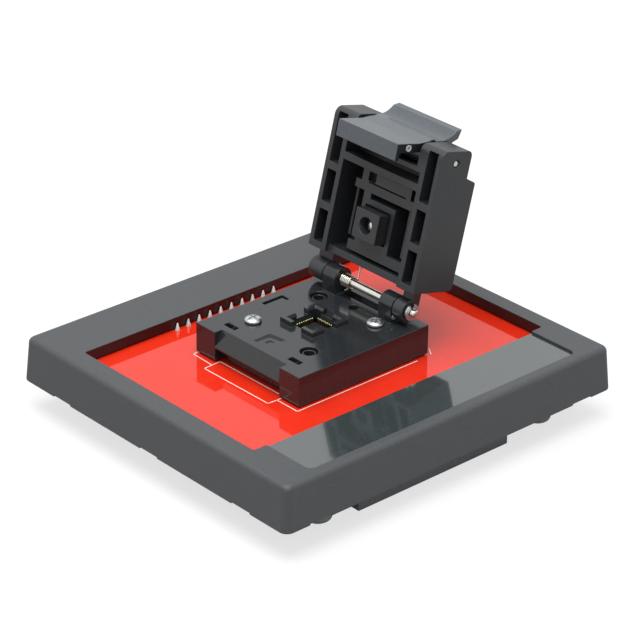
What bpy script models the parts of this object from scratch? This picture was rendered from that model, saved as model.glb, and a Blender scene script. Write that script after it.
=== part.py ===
"""Programmer socket module: a clamshell test socket on an adapter board in a moulded frame.

Metres, +Z up. The origin is below the frame's centre, level with the feet of the two headers.
The label edge of the frame faces -Y, and the socket's lid stands open towards +X.
"""
import math

import bmesh
import bpy
from mathutils import Matrix, Vector

for item in list(bpy.data.objects):
    bpy.data.objects.remove(item, do_unlink=True)

# Clearances
SEAT_GAP = 0.0003
FIT_GAP = 0.0001
CUT_EXTRA = 0.001

# Housing frame: outside sizes are at the bottom edge of the skirt
FRAME_LENGTH = 0.0773
FRAME_WIDTH = 0.0713
FRAME_BOTTOM = 0.00577
FRAME_HEIGHT = 0.00847
FRAME_DRAFT = 0.00069
FRAME_CORNER = 0.0016
FRAME_EDGE = 0.0009
FRAME_WALL = 0.0018
PLATE_THICKNESS = 0.0021
WINDOW_LENGTH = 0.068
WINDOW_WIDTH = 0.04545
WINDOW_X = 0.0002
WINDOW_Y = 0.000765
WINDOW_CORNER = 0.0004
SKIRT_NOTCH_WIDTH = 0.0047
SKIRT_NOTCH_DEPTH = 0.0003
SKIRT_NOTCH_PITCH = 0.02415
END_NOTCH_INSET = 0.0077

# Label strip in its recess along the front edge
LABEL_LENGTH = 0.0626
LABEL_WIDTH = 0.0108
LABEL_X = 0.0003
LABEL_THICKNESS = 0.00015
LABEL_RECESS = 0.0007
LABEL_CORNER = 0.0012

# Adapter board
BOARD_THICKNESS = 0.0016

# Headers under the board
PIN_PITCH = 0.00254
PIN_RADIUS = 0.0004
PIN_HOLE_RADIUS = 0.00055
JOINT_RADIUS = 0.0006
JOINT_WAIST_RADIUS = 0.00038
JOINT_WAIST_RISE = 0.00012
JOINT_TIP_RADIUS = 0.0002
CAVITY_SIZE = 0.0009
CAVITY_DEPTH = 0.0045
HEADER_END_TRIM = 0.0001
FRONT_HEADER_END_ROOM = 0.0058
FRONT_HEADER_WIDTH = 0.005
FRONT_HEADER_INSET = 0.00774
FRONT_JOINT_HEIGHT = 0.0006
REAR_PINS = 10
REAR_HEADER_WIDTH = 0.0025
REAR_HEADER_X = -0.00179
REAR_PIN_INSET = 0.0005
REAR_JOINT_HEIGHT = 0.0014

# Round guide posts under the four corners
POST_RADIUS = 0.0025
POST_EDGE = 0.0009
POST_LENGTH = 0.00845
POST_INSET_X = 0.01255
POST_INSET_Y = 0.0063
POST_STUD_RADIUS = 0.001
POST_STUD_DEPTH = 0.0008

# Socket base
BASE_LENGTH = 0.03052
BASE_WIDTH = 0.02746
BASE_HEIGHT = 0.00565
BASE_X = -0.00079
BASE_Y = 0.00057
BASE_CHAMFER = 0.00015
PACKAGE_OFFSET = 0.00042
RAMP_DEPTH = 0.00175
RAMP_FOOT = 0.00275
LEDGE_HEIGHT = 0.0003
LEDGE_RELIEF = 0.0002
RECESS_DEPTH = 0.00185

# Package nest in the middle of the base
NEST_SIZE = 0.0062
NEST_ROOF = 0.00135
GUIDE_THICKNESS = 0.0012
GUIDE_LENGTH = 0.003
GUIDE_HEIGHT = 0.00105
CONTACT_CAVITY_MARGIN = 0.0025
SEAT_SIZE = 0.0038
SEAT_DROP = 0.0012
SEAT_FLANGE = 0.0008

# Contact fingers
CONTACT_COUNT = 9
CONTACT_PITCH = 0.0005
CONTACT_WIDTH = 0.00025
CONTACT_THICKNESS = 0.0003
CONTACT_TIP_DROP = 0.0008
CONTACT_TIP_INSET = 0.0002
CONTACT_BAR = 0.0012

# Socket screws and nuts
SCREW_X = 0.0078
SCREW_Y = 0.00745
SCREW_HEAD_RADIUS = 0.00155
SCREW_HEAD_HEIGHT = 0.0009
SCREW_SHANK_RADIUS = 0.0008
SCREW_SLOT_WIDTH = 0.00045
SCREW_SLOT_DEPTH = 0.0004
SCREW_TAIL = 0.0003
NUT_WIDTH = 0.0038
NUT_HEIGHT = 0.0014

# Small holes and marks in the base's top
TOOL_HOLE_RADIUS = 0.00165
TOOL_HOLE_DEPTH = 0.0011
PILOT_HOLE_RADIUS = 0.0010
PILOT_HOLE_DEPTH = 0.0024
PILOT_HOLE_X = 0.00937
SLOT_X = 0.01193
SLOT_Y = 0.0085
SLOT_WIDTH = 0.00115
SLOT_LENGTH = 0.00285
SLOT_DEPTH = 0.0014
MARK_X = 0.0018
MARK_INSET = 0.00243
MARK_LENGTH = 0.0042
MARK_RETURN = 0.0014
MARK_WIDTH = 0.0006
MARK_DEPTH = 0.0003

# Hinge
HINGE_OFFSET = 0.01207
HINGE_RISE = 0.00275
HINGE_RADIUS = 0.0021
HINGE_PIN_RADIUS = 0.00075
HINGE_PLAY = 0.00008
EAR_INSET = 0.00468
EAR_WIDTH = 0.0033
FRONT_KNUCKLE_WIDTH = 0.0024
REAR_KNUCKLE_WIDTH = 0.00365
KNUCKLE_GAP = 0.0002
PIN_HEAD_RADIUS = 0.0011
PIN_HEAD_LENGTH = 0.0006
CLIP_RADIUS = 0.00155
CLIP_THICKNESS = 0.0004
CLIP_GROOVE_RADIUS = 0.0005
CLIP_MOUTH = 0.0008
PIN_NOSE = 0.0009
TROUGH_WIDTH = 0.0028
TROUGH_DEPTH = 0.0007
STOP_PIN_RADIUS = 0.0005
STOP_PIN_X = 0.00135
STOP_PIN_DROP = 0.00176
OPEN_ANGLE = 104.2

# Torsion spring on the hinge pin
SPRING_WIRE = 0.00016
SPRING_RADIUS = 0.00105
SPRING_TURNS = 6
SPRING_PITCH = 0.0004
SPRING_LEG_GAP = 0.0006

# Lid: along the lid from the hinge, and up from its inner face
LID_REACH = 0.00402
LID_FACE_DROP = 0.00246
LID_THICKNESS = 0.00985
LID_NOSE_THICKNESS = 0.0075
LID_NOSE_LENGTH = 0.0051
LID_STEP_RUN = 0.0008
LID_END = 0.00234
LID_CORNER = 0.001
LID_NOSE_RADIUS = 0.0015
LID_RIM = 0.00105
POCKET_WIDTH = 0.00225
POCKET_LENGTH = 0.006
POCKET_START = 0.0012
POCKET_WEB = 0.00145
POCKET_END = 0.0008
POCKET_DEPTH = 0.006
LID_RIB = 0.0011
WELL_START = 0.0013
WELL_DEPTH = 0.0065
SIDE_BAR_RISE = 0.001
CROSS_BAR_WIDTH = 0.0014
RECESS_BAR_DEPTH = 0.004
INNER_RIB_WIDTH = 0.0006
INNER_RIB_RISE = 0.0026

# Pusher holder, pressure block and its screw and spring
HOLDER_RISE = 0.0016
HOLDER_THICKNESS = 0.001
HOLDER_START = 0.0019
HOLDER_END = 0.0122
HOLDER_WIDTH = 0.0084
LOWER_BAND_END = 0.00375
LOWER_BAND_LEFT = 0.00575
BAND_START = 0.01325
BAND_END = 0.01485
BAND_LEFT = 0.00675
UPPER_END = 0.0172
UPPER_LEFT = 0.0054
BRIDGE_WIDTH = 0.0018
UPPER_SLOT_WIDTH = 0.0019
UPPER_SLOT_INSET = 0.00155
CORNER_SLOT_WIDTH = 0.0015
CORNER_SLOT_INSET = 0.0005
HOLDER_SIDE_GAP = 0.00025
BLOCK_LENGTH = 0.0055
BLOCK_WIDTH = 0.0059
BLOCK_FACE_DROP = 0.0008
BLOCK_FLANGE = 0.0010
BLOCK_FLANGE_MARGIN = 0.0005
BLOCK_HOLE_RADIUS = 0.00155
BLOCK_HOLE_DEPTH = 0.0022
BLOCK_SCREW_HEAD_RADIUS = 0.0011
BLOCK_SCREW_HEAD_HEIGHT = 0.0009
BLOCK_SCREW_RADIUS = 0.0006
BLOCK_SCREW_ENGAGEMENT = 0.0018
BLOCK_SPRING_RADIUS = 0.0019
BLOCK_SPRING_WIRE = 0.0002
BLOCK_SPRING_COILS = 2.5
BLOCK_TRAVEL = 0.0005

# Latch across the lid's nose
CHEEK_WIDTH = 0.00543
LATCH_SIDE_GAP = 0.00025
WING_OVERHANG = 0.00052
LATCH_CLEARANCE = 0.00027
LATCH_PLATE = 0.0017
LATCH_PIVOT_SET = 0.00024
LATCH_PIVOT_RISE = 0.00406
LATCH_BOSS_RADIUS = 0.00244
LATCH_BOSS_GAP = 0.00022
LATCH_LIP_REACH = 0.0014
LATCH_LIP_THICKNESS = 0.001
LATCH_LIP_DROP = 0.00905
LIP_BEVEL_RUN = 0.0001
LIP_BEVEL_DROP = 0.0004
LATCH_PIN_RADIUS = 0.0005
LATCH_PIN_PLAY = 0.00008
LATCH_PIN_SINK = 0.0003
LATCH_SOCKET_RADIUS = 0.0007
ROLL_PIN_RADIUS = 0.0006
ROLL_PIN_DROP = 0.00616
ROLL_PIN_LENGTH = 0.0048
LATCH_SPRING_RADIUS = 0.00115
LATCH_SPRING_WIRE = 0.00017
LATCH_SPRING_COILS = 3.75
LATCH_SPRING_PITCH = 0.00045
LATCH_SLOT_INSET = 0.00303
LATCH_SLOT_WIDTH = 0.0026
LATCH_SKIN = 0.0009
WING_HOLLOW_RADIUS = 0.0022
WING_HOLLOW_ANGLE = 45
WING_FOOT_RISE = 0.00192
WING_TIP = ((0.00408, 0.00447), (0.00442, 0.00583))
WING_BACK = ((0.00264, 0.00534), (0.002, 0.00405), (0.00073, 0.0022))


# Shapes

def arc(centre, radius, start, end, steps):
    """Points on a circle from one angle to another, both in degrees."""
    points = []
    for i in range(steps + 1):
        angle = math.radians(start + (end - start) * i / steps)
        points.append((centre[0] + radius * math.cos(angle), centre[1] + radius * math.sin(angle)))
    return points


def circle(centre, radius, count):
    """Outline of a round hole or shaft."""
    return arc(centre, radius, 0, 360 - 360 / count, count - 1)


def rectangle(x0, x1, y0, y1):
    """Outline of a rectangle between two limits on each axis."""
    return [(x0, y0), (x1, y0), (x1, y1), (x0, y1)]


def rounded(outline, radii, steps=4):
    """Outline with an arc of the given radius at each corner; a radius of 0 keeps the corner."""
    points = []
    count = len(outline)
    for i, (corner, radius) in enumerate(zip(outline, radii)):
        if radius <= 0:
            points.append(corner)
            continue
        here = Vector(corner)
        back = (Vector(outline[i - 1]) - here).normalized()
        ahead = (Vector(outline[(i + 1) % count]) - here).normalized()
        half = back.angle(ahead) / 2
        middle = here + (back + ahead).normalized() * (radius / math.sin(half))
        first = here + back * (radius / math.tan(half)) - middle
        last = here + ahead * (radius / math.tan(half)) - middle
        turn = first.angle_signed(last)
        for k in range(steps + 1):
            spoke = Matrix.Rotation(-turn * k / steps, 2) @ first
            points.append(tuple(middle + spoke))
    return points


def placed(point, height, axis):
    """A point of an outline at a height along an axis: X outlines hold y and z, Y hold x and z."""
    a, b = point
    if axis == "X":
        return (height, a, b)
    if axis == "Y":
        return (a, height, b)
    return (a, b, height)


def solid(bm):
    """Object from a bmesh with its faces pointing out."""
    bmesh.ops.recalc_face_normals(bm, faces=bm.faces)
    mesh = bpy.data.meshes.new("shape")
    bm.to_mesh(mesh)
    bm.free()
    shape = bpy.data.objects.new("shape", mesh)
    bpy.context.scene.collection.objects.link(shape)
    return shape


def lofted(sections, axis="Z"):
    """Closed solid through outlines of equal length, given as (outline, height) pairs."""
    bm = bmesh.new()
    rings = [[bm.verts.new(placed(p, height, axis)) for p in outline] for outline, height in sections]
    for low, high in zip(rings, rings[1:]):
        for i in range(len(low)):
            j = (i + 1) % len(low)
            bm.faces.new((low[i], low[j], high[j], high[i]))
    bm.faces.new(rings[0][::-1])
    bm.faces.new(rings[-1])
    return solid(bm)


def prism(outline, start, end, axis="Z"):
    """Outline drawn out along an axis."""
    return lofted([(outline, start), (outline, end)], axis)


def box(x0, x1, y0, y1, z0, z1):
    """Rectangular solid between two limits on each axis."""
    return prism(rectangle(x0, x1, y0, y1), z0, z1)


def turned(centre, profile, count, axis="Z"):
    """Round solid through (radius, height) pairs along an axis."""
    return lofted([(circle(centre, radius, count), height) for radius, height in profile], axis)


def tube(path, radius, sides=6):
    """Round wire along a path of points."""
    points = [Vector(p) for p in path]
    bm = bmesh.new()
    rings = []
    side = None
    for i, point in enumerate(points):
        ahead = points[min(i + 1, len(points) - 1)] - points[max(i - 1, 0)]
        ahead.normalize()
        if side is None:
            side = ahead.orthogonal().normalized()
        side = (side - ahead * side.dot(ahead)).normalized()
        up = ahead.cross(side)
        ring = []
        for k in range(sides):
            angle = 2 * math.pi * k / sides
            ring.append(bm.verts.new(point + (side * math.cos(angle) + up * math.sin(angle)) * radius))
        rings.append(ring)
    for low, high in zip(rings, rings[1:]):
        for i in range(sides):
            j = (i + 1) % sides
            bm.faces.new((low[i], low[j], high[j], high[i]))
    bm.faces.new(rings[0][::-1])
    bm.faces.new(rings[-1])
    return solid(bm)


def helix(centre, radius, start, pitch, coils, first_angle, per_turn=12):
    """Points of a coil round an axis along Y; angles run from +X towards +Z."""
    points = []
    steps = int(round(coils * per_turn))
    for i in range(steps + 1):
        turn = coils * i / steps
        angle = math.radians(first_angle) + 2 * math.pi * turn
        x = centre[0] + radius * math.cos(angle)
        z = centre[1] + radius * math.sin(angle)
        points.append((x, start + pitch * turn, z))
    return points


def together(shapes):
    """One object from several shapes that don't touch."""
    bm = bmesh.new()
    for shape in shapes:
        bm.from_mesh(shape.data)
        bpy.data.objects.remove(shape, do_unlink=True)
    return solid(bm)


def changed(target, tools, operation):
    """Target after a Boolean with each tool in turn; the tools are used up."""
    for tool in tools:
        modifier = target.modifiers.new("change", "BOOLEAN")
        modifier.operation = operation
        modifier.object = tool
    graph = bpy.context.evaluated_depsgraph_get()
    mesh = bpy.data.meshes.new_from_object(target.evaluated_get(graph))
    target.modifiers.clear()
    target.data = mesh
    for tool in tools:
        bpy.data.objects.remove(tool, do_unlink=True)
    return target


def cut(target, *tools):
    """Target with the tools taken away from it."""
    return changed(target, tools, "DIFFERENCE")


def joined(target, *tools):
    """Target with the tools added to it as one solid."""
    return changed(target, tools, "UNION")


def finished(shape, name, colour, roughness, metallic=0.0, parent=None):
    """Name, material, shading and parent of one finished piece."""
    bm = bmesh.new()
    bm.from_mesh(shape.data)
    bmesh.ops.remove_doubles(bm, verts=bm.verts, dist=0.000001)
    bmesh.ops.dissolve_degenerate(bm, edges=bm.edges, dist=0.000001)
    bm.to_mesh(shape.data)
    bm.free()
    shape.name = name
    shape.data.name = name
    surface = bpy.data.materials.new(name)
    surface.use_nodes = True
    shader = surface.node_tree.nodes["Principled BSDF"]
    shader.inputs["Base Color"].default_value = (*colour, 1.0)
    shader.inputs["Roughness"].default_value = roughness
    shader.inputs["Metallic"].default_value = metallic
    shape.data.materials.clear()
    shape.data.materials.append(surface)
    shape.data.shade_smooth()
    shape.data.set_sharp_from_angle(angle=math.radians(32))
    if parent:
        shape.parent = parent
    return shape


def pivot(name, location, angle=0.0, parent=None):
    """Empty on a joint's axis, turned about Y."""
    empty = bpy.data.objects.new(name, None)
    empty.empty_display_size = 0.005
    empty.location = location
    empty.rotation_euler = (0.0, math.radians(angle), 0.0)
    empty.parent = parent
    bpy.context.scene.collection.objects.link(empty)
    return empty


# Levels and places that several pieces share
FRAME_TOP = FRAME_BOTTOM + FRAME_HEIGHT
PLATE_UNDER = FRAME_TOP - PLATE_THICKNESS
BOARD_TOP = PLATE_UNDER - SEAT_GAP
BOARD_UNDER = BOARD_TOP - BOARD_THICKNESS
BASE_UNDER = BOARD_TOP + SEAT_GAP
BASE_TOP = BASE_UNDER + BASE_HEIGHT
WINDOW_FRONT = WINDOW_Y - WINDOW_WIDTH / 2
WINDOW_BACK = WINDOW_Y + WINDOW_WIDTH / 2
FRONT_HEADER_Y = -FRAME_WIDTH / 2 + FRONT_HEADER_INSET
REAR_HEADER_Y = WINDOW_BACK - REAR_PIN_INSET
PACKAGE_X = BASE_X + PACKAGE_OFFSET
HINGE_X = PACKAGE_X + HINGE_OFFSET
HINGE_Z = BASE_TOP + HINGE_RISE
BASE_LATCH_FACE = BASE_X - BASE_LENGTH / 2
BASE_HINGE_FACE = BASE_X + BASE_LENGTH / 2
EAR_OUTER = BASE_WIDTH / 2 - EAR_INSET
EAR_INNER = EAR_OUTER - EAR_WIDTH
LATCH_ROOM_HALF = BASE_WIDTH / 2 - CHEEK_WIDTH
LATCH_NOTCH_HALF = LATCH_ROOM_HALF + SEAT_GAP

PLASTIC = (0.055, 0.058, 0.062)
STEEL = (0.62, 0.62, 0.60)
GOLD = (0.83, 0.62, 0.25)
RED = (0.72, 0.035, 0.02)


# Housing frame

def frame_lean(height):
    """How far the skirt's sides lean in at a height."""
    return FRAME_DRAFT * (height - FRAME_BOTTOM) / FRAME_HEIGHT


def frame_outline(inset, corner):
    """Outline of the frame, pulled in from the skirt's bottom edge."""
    x = FRAME_LENGTH / 2 - inset
    y = FRAME_WIDTH / 2 - inset
    return rounded(rectangle(-x, x, -y, y), [max(corner, 0.0003)] * 4)


sections = [(frame_outline(0, FRAME_CORNER), FRAME_BOTTOM)]
for angle in (0, 30, 60, 90):
    height = FRAME_TOP - FRAME_EDGE * (1 - math.sin(math.radians(angle)))
    inset = frame_lean(height) + FRAME_EDGE * (1 - math.cos(math.radians(angle)))
    sections.append((frame_outline(inset, FRAME_CORNER - inset / 2), height))
housing = lofted(sections)

inner_corner = FRAME_CORNER - FRAME_WALL / 2
below = FRAME_BOTTOM - CUT_EXTRA
hollow = lofted([
    (frame_outline(FRAME_WALL + frame_lean(below), inner_corner), below),
    (frame_outline(FRAME_WALL + frame_lean(PLATE_UNDER), inner_corner), PLATE_UNDER),
])
window_left = WINDOW_X - WINDOW_LENGTH / 2
window_right = WINDOW_X + WINDOW_LENGTH / 2
window = prism(
    rounded(rectangle(window_left, window_right, WINDOW_FRONT, WINDOW_BACK), [WINDOW_CORNER] * 4, 2),
    PLATE_UNDER - CUT_EXTRA, FRAME_TOP + CUT_EXTRA)
label_left = LABEL_X - LABEL_LENGTH / 2
label_right = LABEL_X + LABEL_LENGTH / 2
label_front = WINDOW_FRONT - LABEL_WIDTH
label_recess = prism(
    rounded(rectangle(label_left, label_right, label_front, WINDOW_FRONT + CUT_EXTRA),
            [LABEL_CORNER, LABEL_CORNER, 0, 0]),
    FRAME_TOP - LABEL_RECESS, FRAME_TOP + CUT_EXTRA)
post_x = FRAME_LENGTH / 2 - POST_INSET_X
post_y = FRAME_WIDTH / 2 - POST_INSET_Y
front_columns = int(2 * (post_x - POST_RADIUS - FRONT_HEADER_END_ROOM) / PIN_PITCH)
front_header_half = (front_columns * PIN_PITCH - HEADER_END_TRIM) / 2
joint_room = PIN_PITCH / 2 + JOINT_RADIUS + SEAT_GAP
joint_relief = box(
    -front_header_half, front_header_half,
    FRONT_HEADER_Y - joint_room, FRONT_HEADER_Y + joint_room,
    PLATE_UNDER - CUT_EXTRA, BOARD_TOP + FIT_GAP + FRONT_JOINT_HEIGHT + FIT_GAP)
post_places = {
    "front_left": (-post_x, -post_y),
    "front_right": (post_x, -post_y),
    "rear_left": (-post_x, post_y),
    "rear_right": (post_x, post_y),
}
stud_holes = together([
    turned(place, [(POST_STUD_RADIUS + FIT_GAP, PLATE_UNDER - CUT_EXTRA),
                   (POST_STUD_RADIUS + FIT_GAP, PLATE_UNDER + POST_STUD_DEPTH + FIT_GAP)], 12)
    for place in post_places.values()])
notches = []
for step in (-1, 0, 1):
    middle = step * SKIRT_NOTCH_PITCH
    notches.append(box(
        -FRAME_LENGTH, FRAME_LENGTH,
        middle - SKIRT_NOTCH_WIDTH / 2, middle + SKIRT_NOTCH_WIDTH / 2,
        FRAME_BOTTOM - CUT_EXTRA, FRAME_BOTTOM + SKIRT_NOTCH_DEPTH))
end_notches = []
for side in (-1, 1):
    middle = side * (FRAME_LENGTH / 2 - END_NOTCH_INSET)
    end_notches.append(box(
        middle - SKIRT_NOTCH_WIDTH / 2, middle + SKIRT_NOTCH_WIDTH / 2,
        -FRAME_WIDTH, FRAME_WIDTH,
        FRAME_BOTTOM - CUT_EXTRA, FRAME_BOTTOM + SKIRT_NOTCH_DEPTH))
housing = cut(housing, hollow, window, label_recess, joint_relief, stud_holes,
              together(notches), together(end_notches))
finished(housing, "housing_frame", PLASTIC, 0.55)

# Label strip
label = prism(
    rounded(rectangle(label_left + FIT_GAP, label_right - FIT_GAP, label_front + FIT_GAP, WINDOW_FRONT),
            [LABEL_CORNER - FIT_GAP, LABEL_CORNER - FIT_GAP, 0, 0]),
    FRAME_TOP - LABEL_RECESS + FIT_GAP, FRAME_TOP - LABEL_RECESS + FIT_GAP + LABEL_THICKNESS)
finished(label, "label_strip", (0.02, 0.02, 0.022), 0.15)

# Adapter board, held under the frame's plate
board_inset = FRAME_WALL + frame_lean(PLATE_UNDER) + SEAT_GAP
board = prism(frame_outline(board_inset, inner_corner), BOARD_UNDER, BOARD_TOP)
front_pins = []
for row in (-1, 1):
    for i in range(front_columns):
        x = (i - (front_columns - 1) / 2) * PIN_PITCH
        front_pins.append((x, FRONT_HEADER_Y + row * PIN_PITCH / 2))
rear_pins = []
for i in range(REAR_PINS):
    x = REAR_HEADER_X + (i - (REAR_PINS - 1) / 2) * PIN_PITCH
    rear_pins.append((x, REAR_HEADER_Y))
screw_places = {
    "left": (PACKAGE_X - SCREW_X, BASE_Y + SCREW_Y),
    "right": (PACKAGE_X + SCREW_X, BASE_Y - SCREW_Y),
}
drills = []
for place in front_pins + rear_pins:
    drills.append(turned(place, [(PIN_HOLE_RADIUS, BOARD_UNDER - CUT_EXTRA),
                                 (PIN_HOLE_RADIUS, BOARD_TOP + CUT_EXTRA)], 8))
for place in post_places.values():
    drills.append(turned(place, [(POST_STUD_RADIUS + FIT_GAP, BOARD_UNDER - CUT_EXTRA),
                                 (POST_STUD_RADIUS + FIT_GAP, BOARD_TOP + CUT_EXTRA)], 12))
for place in screw_places.values():
    drills.append(turned(place, [(SCREW_SHANK_RADIUS + FIT_GAP, BOARD_UNDER - CUT_EXTRA),
                                 (SCREW_SHANK_RADIUS + FIT_GAP, BOARD_TOP + CUT_EXTRA)], 12))
board = cut(board, together(drills))
finished(board, "circuit_board", RED, 0.2)


# Headers, with their pins and solder joints

def header(name, pins, x_middle, y_middle, length, width, joint_height):
    """Moulded header body with a contact cavity under each pin and a joint on the board above it."""
    body_top = BOARD_UNDER - SEAT_GAP
    body = box(x_middle - length / 2, x_middle + length / 2,
               y_middle - width / 2, y_middle + width / 2, 0, body_top)
    foot = BOARD_TOP + FIT_GAP
    rods = []
    cavities = []
    half = CAVITY_SIZE / 2
    for x, y in pins:
        rods.append(turned((x, y), [
            (PIN_RADIUS, body_top - CUT_EXTRA), (PIN_RADIUS, foot),
            (JOINT_RADIUS, foot), (JOINT_WAIST_RADIUS, foot + JOINT_WAIST_RISE),
            (JOINT_TIP_RADIUS, foot + joint_height)], 8))
        cavities.append(box(x - half, x + half, y - half, y + half, -CUT_EXTRA, CAVITY_DEPTH))
    body = cut(body, together(cavities))
    body = joined(body, together(rods))
    finished(body, name, (0.02, 0.02, 0.022), 0.45)


header("front_header", front_pins, 0.0, FRONT_HEADER_Y, 2 * front_header_half,
       FRONT_HEADER_WIDTH, FRONT_JOINT_HEIGHT)
header("rear_header", rear_pins, REAR_HEADER_X, REAR_HEADER_Y,
       REAR_PINS * PIN_PITCH - HEADER_END_TRIM, REAR_HEADER_WIDTH, REAR_JOINT_HEIGHT)

# Guide posts: each has a stud through the board into the frame's plate
for place_name, place in post_places.items():
    top = BOARD_UNDER - SEAT_GAP
    profile = []
    for angle in (0, 30, 60, 90):
        radius = POST_RADIUS - POST_EDGE * (1 - math.sin(math.radians(angle)))
        height = top - POST_LENGTH + POST_EDGE * (1 - math.cos(math.radians(angle)))
        profile.append((radius, height))
    profile.append((POST_RADIUS, top))
    profile.append((POST_STUD_RADIUS, top))
    profile.append((POST_STUD_RADIUS, PLATE_UNDER + POST_STUD_DEPTH))
    finished(turned(place, profile, 20), "guide_post_" + place_name, (0.03, 0.03, 0.032), 0.5)

# Socket base: block with hinge ears and package guides
half_width = BASE_WIDTH / 2
base = prism([
    (BASE_Y - half_width, BASE_UNDER), (BASE_Y + half_width, BASE_UNDER),
    (BASE_Y + half_width, BASE_TOP - BASE_CHAMFER), (BASE_Y + half_width - BASE_CHAMFER, BASE_TOP),
    (BASE_Y - half_width + BASE_CHAMFER, BASE_TOP), (BASE_Y - half_width, BASE_TOP - BASE_CHAMFER),
], BASE_LATCH_FACE, BASE_HINGE_FACE, "X")
ear_outline = [(HINGE_X + HINGE_RADIUS, BASE_TOP - CUT_EXTRA)]
ear_outline += arc((HINGE_X, HINGE_Z), HINGE_RADIUS, 0, 180, 12)
ear_outline += [(HINGE_X - HINGE_RADIUS, BASE_TOP - CUT_EXTRA)]
front_ear = prism(ear_outline, BASE_Y - EAR_OUTER, BASE_Y - EAR_INNER, "Y")
rear_ear = prism(ear_outline, BASE_Y + EAR_INNER, BASE_Y + EAR_OUTER, "Y")
inner = NEST_SIZE / 2
outer = inner + GUIDE_THICKNESS
guides = []
for sx in (-1, 1):
    for sy in (-1, 1):
        corner = [(outer, outer - GUIDE_LENGTH), (outer, outer), (outer - GUIDE_LENGTH, outer),
                  (outer - GUIDE_LENGTH, inner - CUT_EXTRA), (inner - CUT_EXTRA, inner - CUT_EXTRA),
                  (inner - CUT_EXTRA, outer - GUIDE_LENGTH)]
        guides.append(prism([(PACKAGE_X + sx * x, BASE_Y + sy * y) for x, y in corner],
                            BASE_TOP - CUT_EXTRA, BASE_TOP + GUIDE_HEIGHT))
base = joined(base, together([front_ear, rear_ear]), together(guides))

nest = box(PACKAGE_X - inner, PACKAGE_X + inner, BASE_Y - inner, BASE_Y + inner,
           BASE_UNDER - CUT_EXTRA, BASE_TOP + GUIDE_HEIGHT + CUT_EXTRA)
cavity_half = inner + CONTACT_CAVITY_MARGIN
contact_cavity = box(PACKAGE_X - cavity_half, PACKAGE_X + cavity_half,
                     BASE_Y - cavity_half, BASE_Y + cavity_half,
                     BASE_UNDER - CUT_EXTRA, BASE_TOP - NEST_ROOF)
ramp_foot = BASE_UNDER + RAMP_FOOT
ledge = ramp_foot - LEDGE_HEIGHT
outside = BASE_LATCH_FACE - CUT_EXTRA
ramp = prism([
    (outside, BASE_TOP + CUT_EXTRA), (BASE_LATCH_FACE + RAMP_DEPTH, BASE_TOP + CUT_EXTRA),
    (BASE_LATCH_FACE + RAMP_DEPTH, BASE_TOP), (BASE_LATCH_FACE, ramp_foot), (outside, ramp_foot),
], BASE_Y - LATCH_NOTCH_HALF, BASE_Y + LATCH_NOTCH_HALF, "Y")
hook_recess = prism([
    (outside, ledge), (BASE_LATCH_FACE, ledge), (BASE_LATCH_FACE + RECESS_DEPTH, ledge - LEDGE_RELIEF),
    (BASE_LATCH_FACE + RECESS_DEPTH, BASE_UNDER - CUT_EXTRA), (outside, BASE_UNDER - CUT_EXTRA),
], BASE_Y - LATCH_NOTCH_HALF, BASE_Y + LATCH_NOTCH_HALF, "Y")
pin_end_front = BASE_Y - EAR_OUTER - KNUCKLE_GAP - FRONT_KNUCKLE_WIDTH
pin_end_rear = BASE_Y + EAR_OUTER + KNUCKLE_GAP + REAR_KNUCKLE_WIDTH
hinge_bore = prism(circle((HINGE_X, HINGE_Z), HINGE_PIN_RADIUS + HINGE_PLAY, 20),
                   pin_end_front, pin_end_rear, "Y")
stop_centre = (HINGE_X - STOP_PIN_X, HINGE_Z - STOP_PIN_DROP)
stop_bore = prism(circle(stop_centre, STOP_PIN_RADIUS + FIT_GAP, 12),
                  BASE_Y - EAR_OUTER - CUT_EXTRA, BASE_Y - EAR_INNER - SEAT_GAP, "Y")
screw_holes = together([
    turned(place, [(SCREW_SHANK_RADIUS + FIT_GAP, BASE_UNDER - CUT_EXTRA),
                   (SCREW_SHANK_RADIUS + FIT_GAP, BASE_TOP + CUT_EXTRA)], 12)
    for place in screw_places.values()])
tool_places = [(PACKAGE_X - SCREW_X, BASE_Y - SCREW_Y), (PACKAGE_X + SCREW_X, BASE_Y + SCREW_Y)]
round_holes = together([
    turned(place, [(PILOT_HOLE_RADIUS, BASE_TOP - PILOT_HOLE_DEPTH),
                   (PILOT_HOLE_RADIUS, BASE_TOP - TOOL_HOLE_DEPTH),
                   (TOOL_HOLE_RADIUS, BASE_TOP - TOOL_HOLE_DEPTH),
                   (TOOL_HOLE_RADIUS, BASE_TOP + CUT_EXTRA)], 16)
    for place in tool_places] + [
    turned((PACKAGE_X + PILOT_HOLE_X, BASE_Y),
           [(PILOT_HOLE_RADIUS, BASE_TOP - PILOT_HOLE_DEPTH),
            (PILOT_HOLE_RADIUS, BASE_TOP + CUT_EXTRA)], 12)])
slots = together([
    box(PACKAGE_X - SLOT_X - SLOT_WIDTH / 2, PACKAGE_X - SLOT_X + SLOT_WIDTH / 2,
        BASE_Y + side * SLOT_Y - SLOT_LENGTH / 2, BASE_Y + side * SLOT_Y + SLOT_LENGTH / 2,
        BASE_TOP - SLOT_DEPTH, BASE_TOP + CUT_EXTRA)
    for side in (-1, 1)])
trough_half = EAR_INNER - SEAT_GAP
trough = box(HINGE_X - TROUGH_WIDTH / 2, HINGE_X + TROUGH_WIDTH / 2,
             BASE_Y - trough_half, BASE_Y + trough_half,
             BASE_TOP - TROUGH_DEPTH, BASE_TOP + CUT_EXTRA)
mark_x = PACKAGE_X - MARK_X
mark_y = BASE_Y + half_width - MARK_INSET
mark_end = mark_x + MARK_LENGTH
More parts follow.
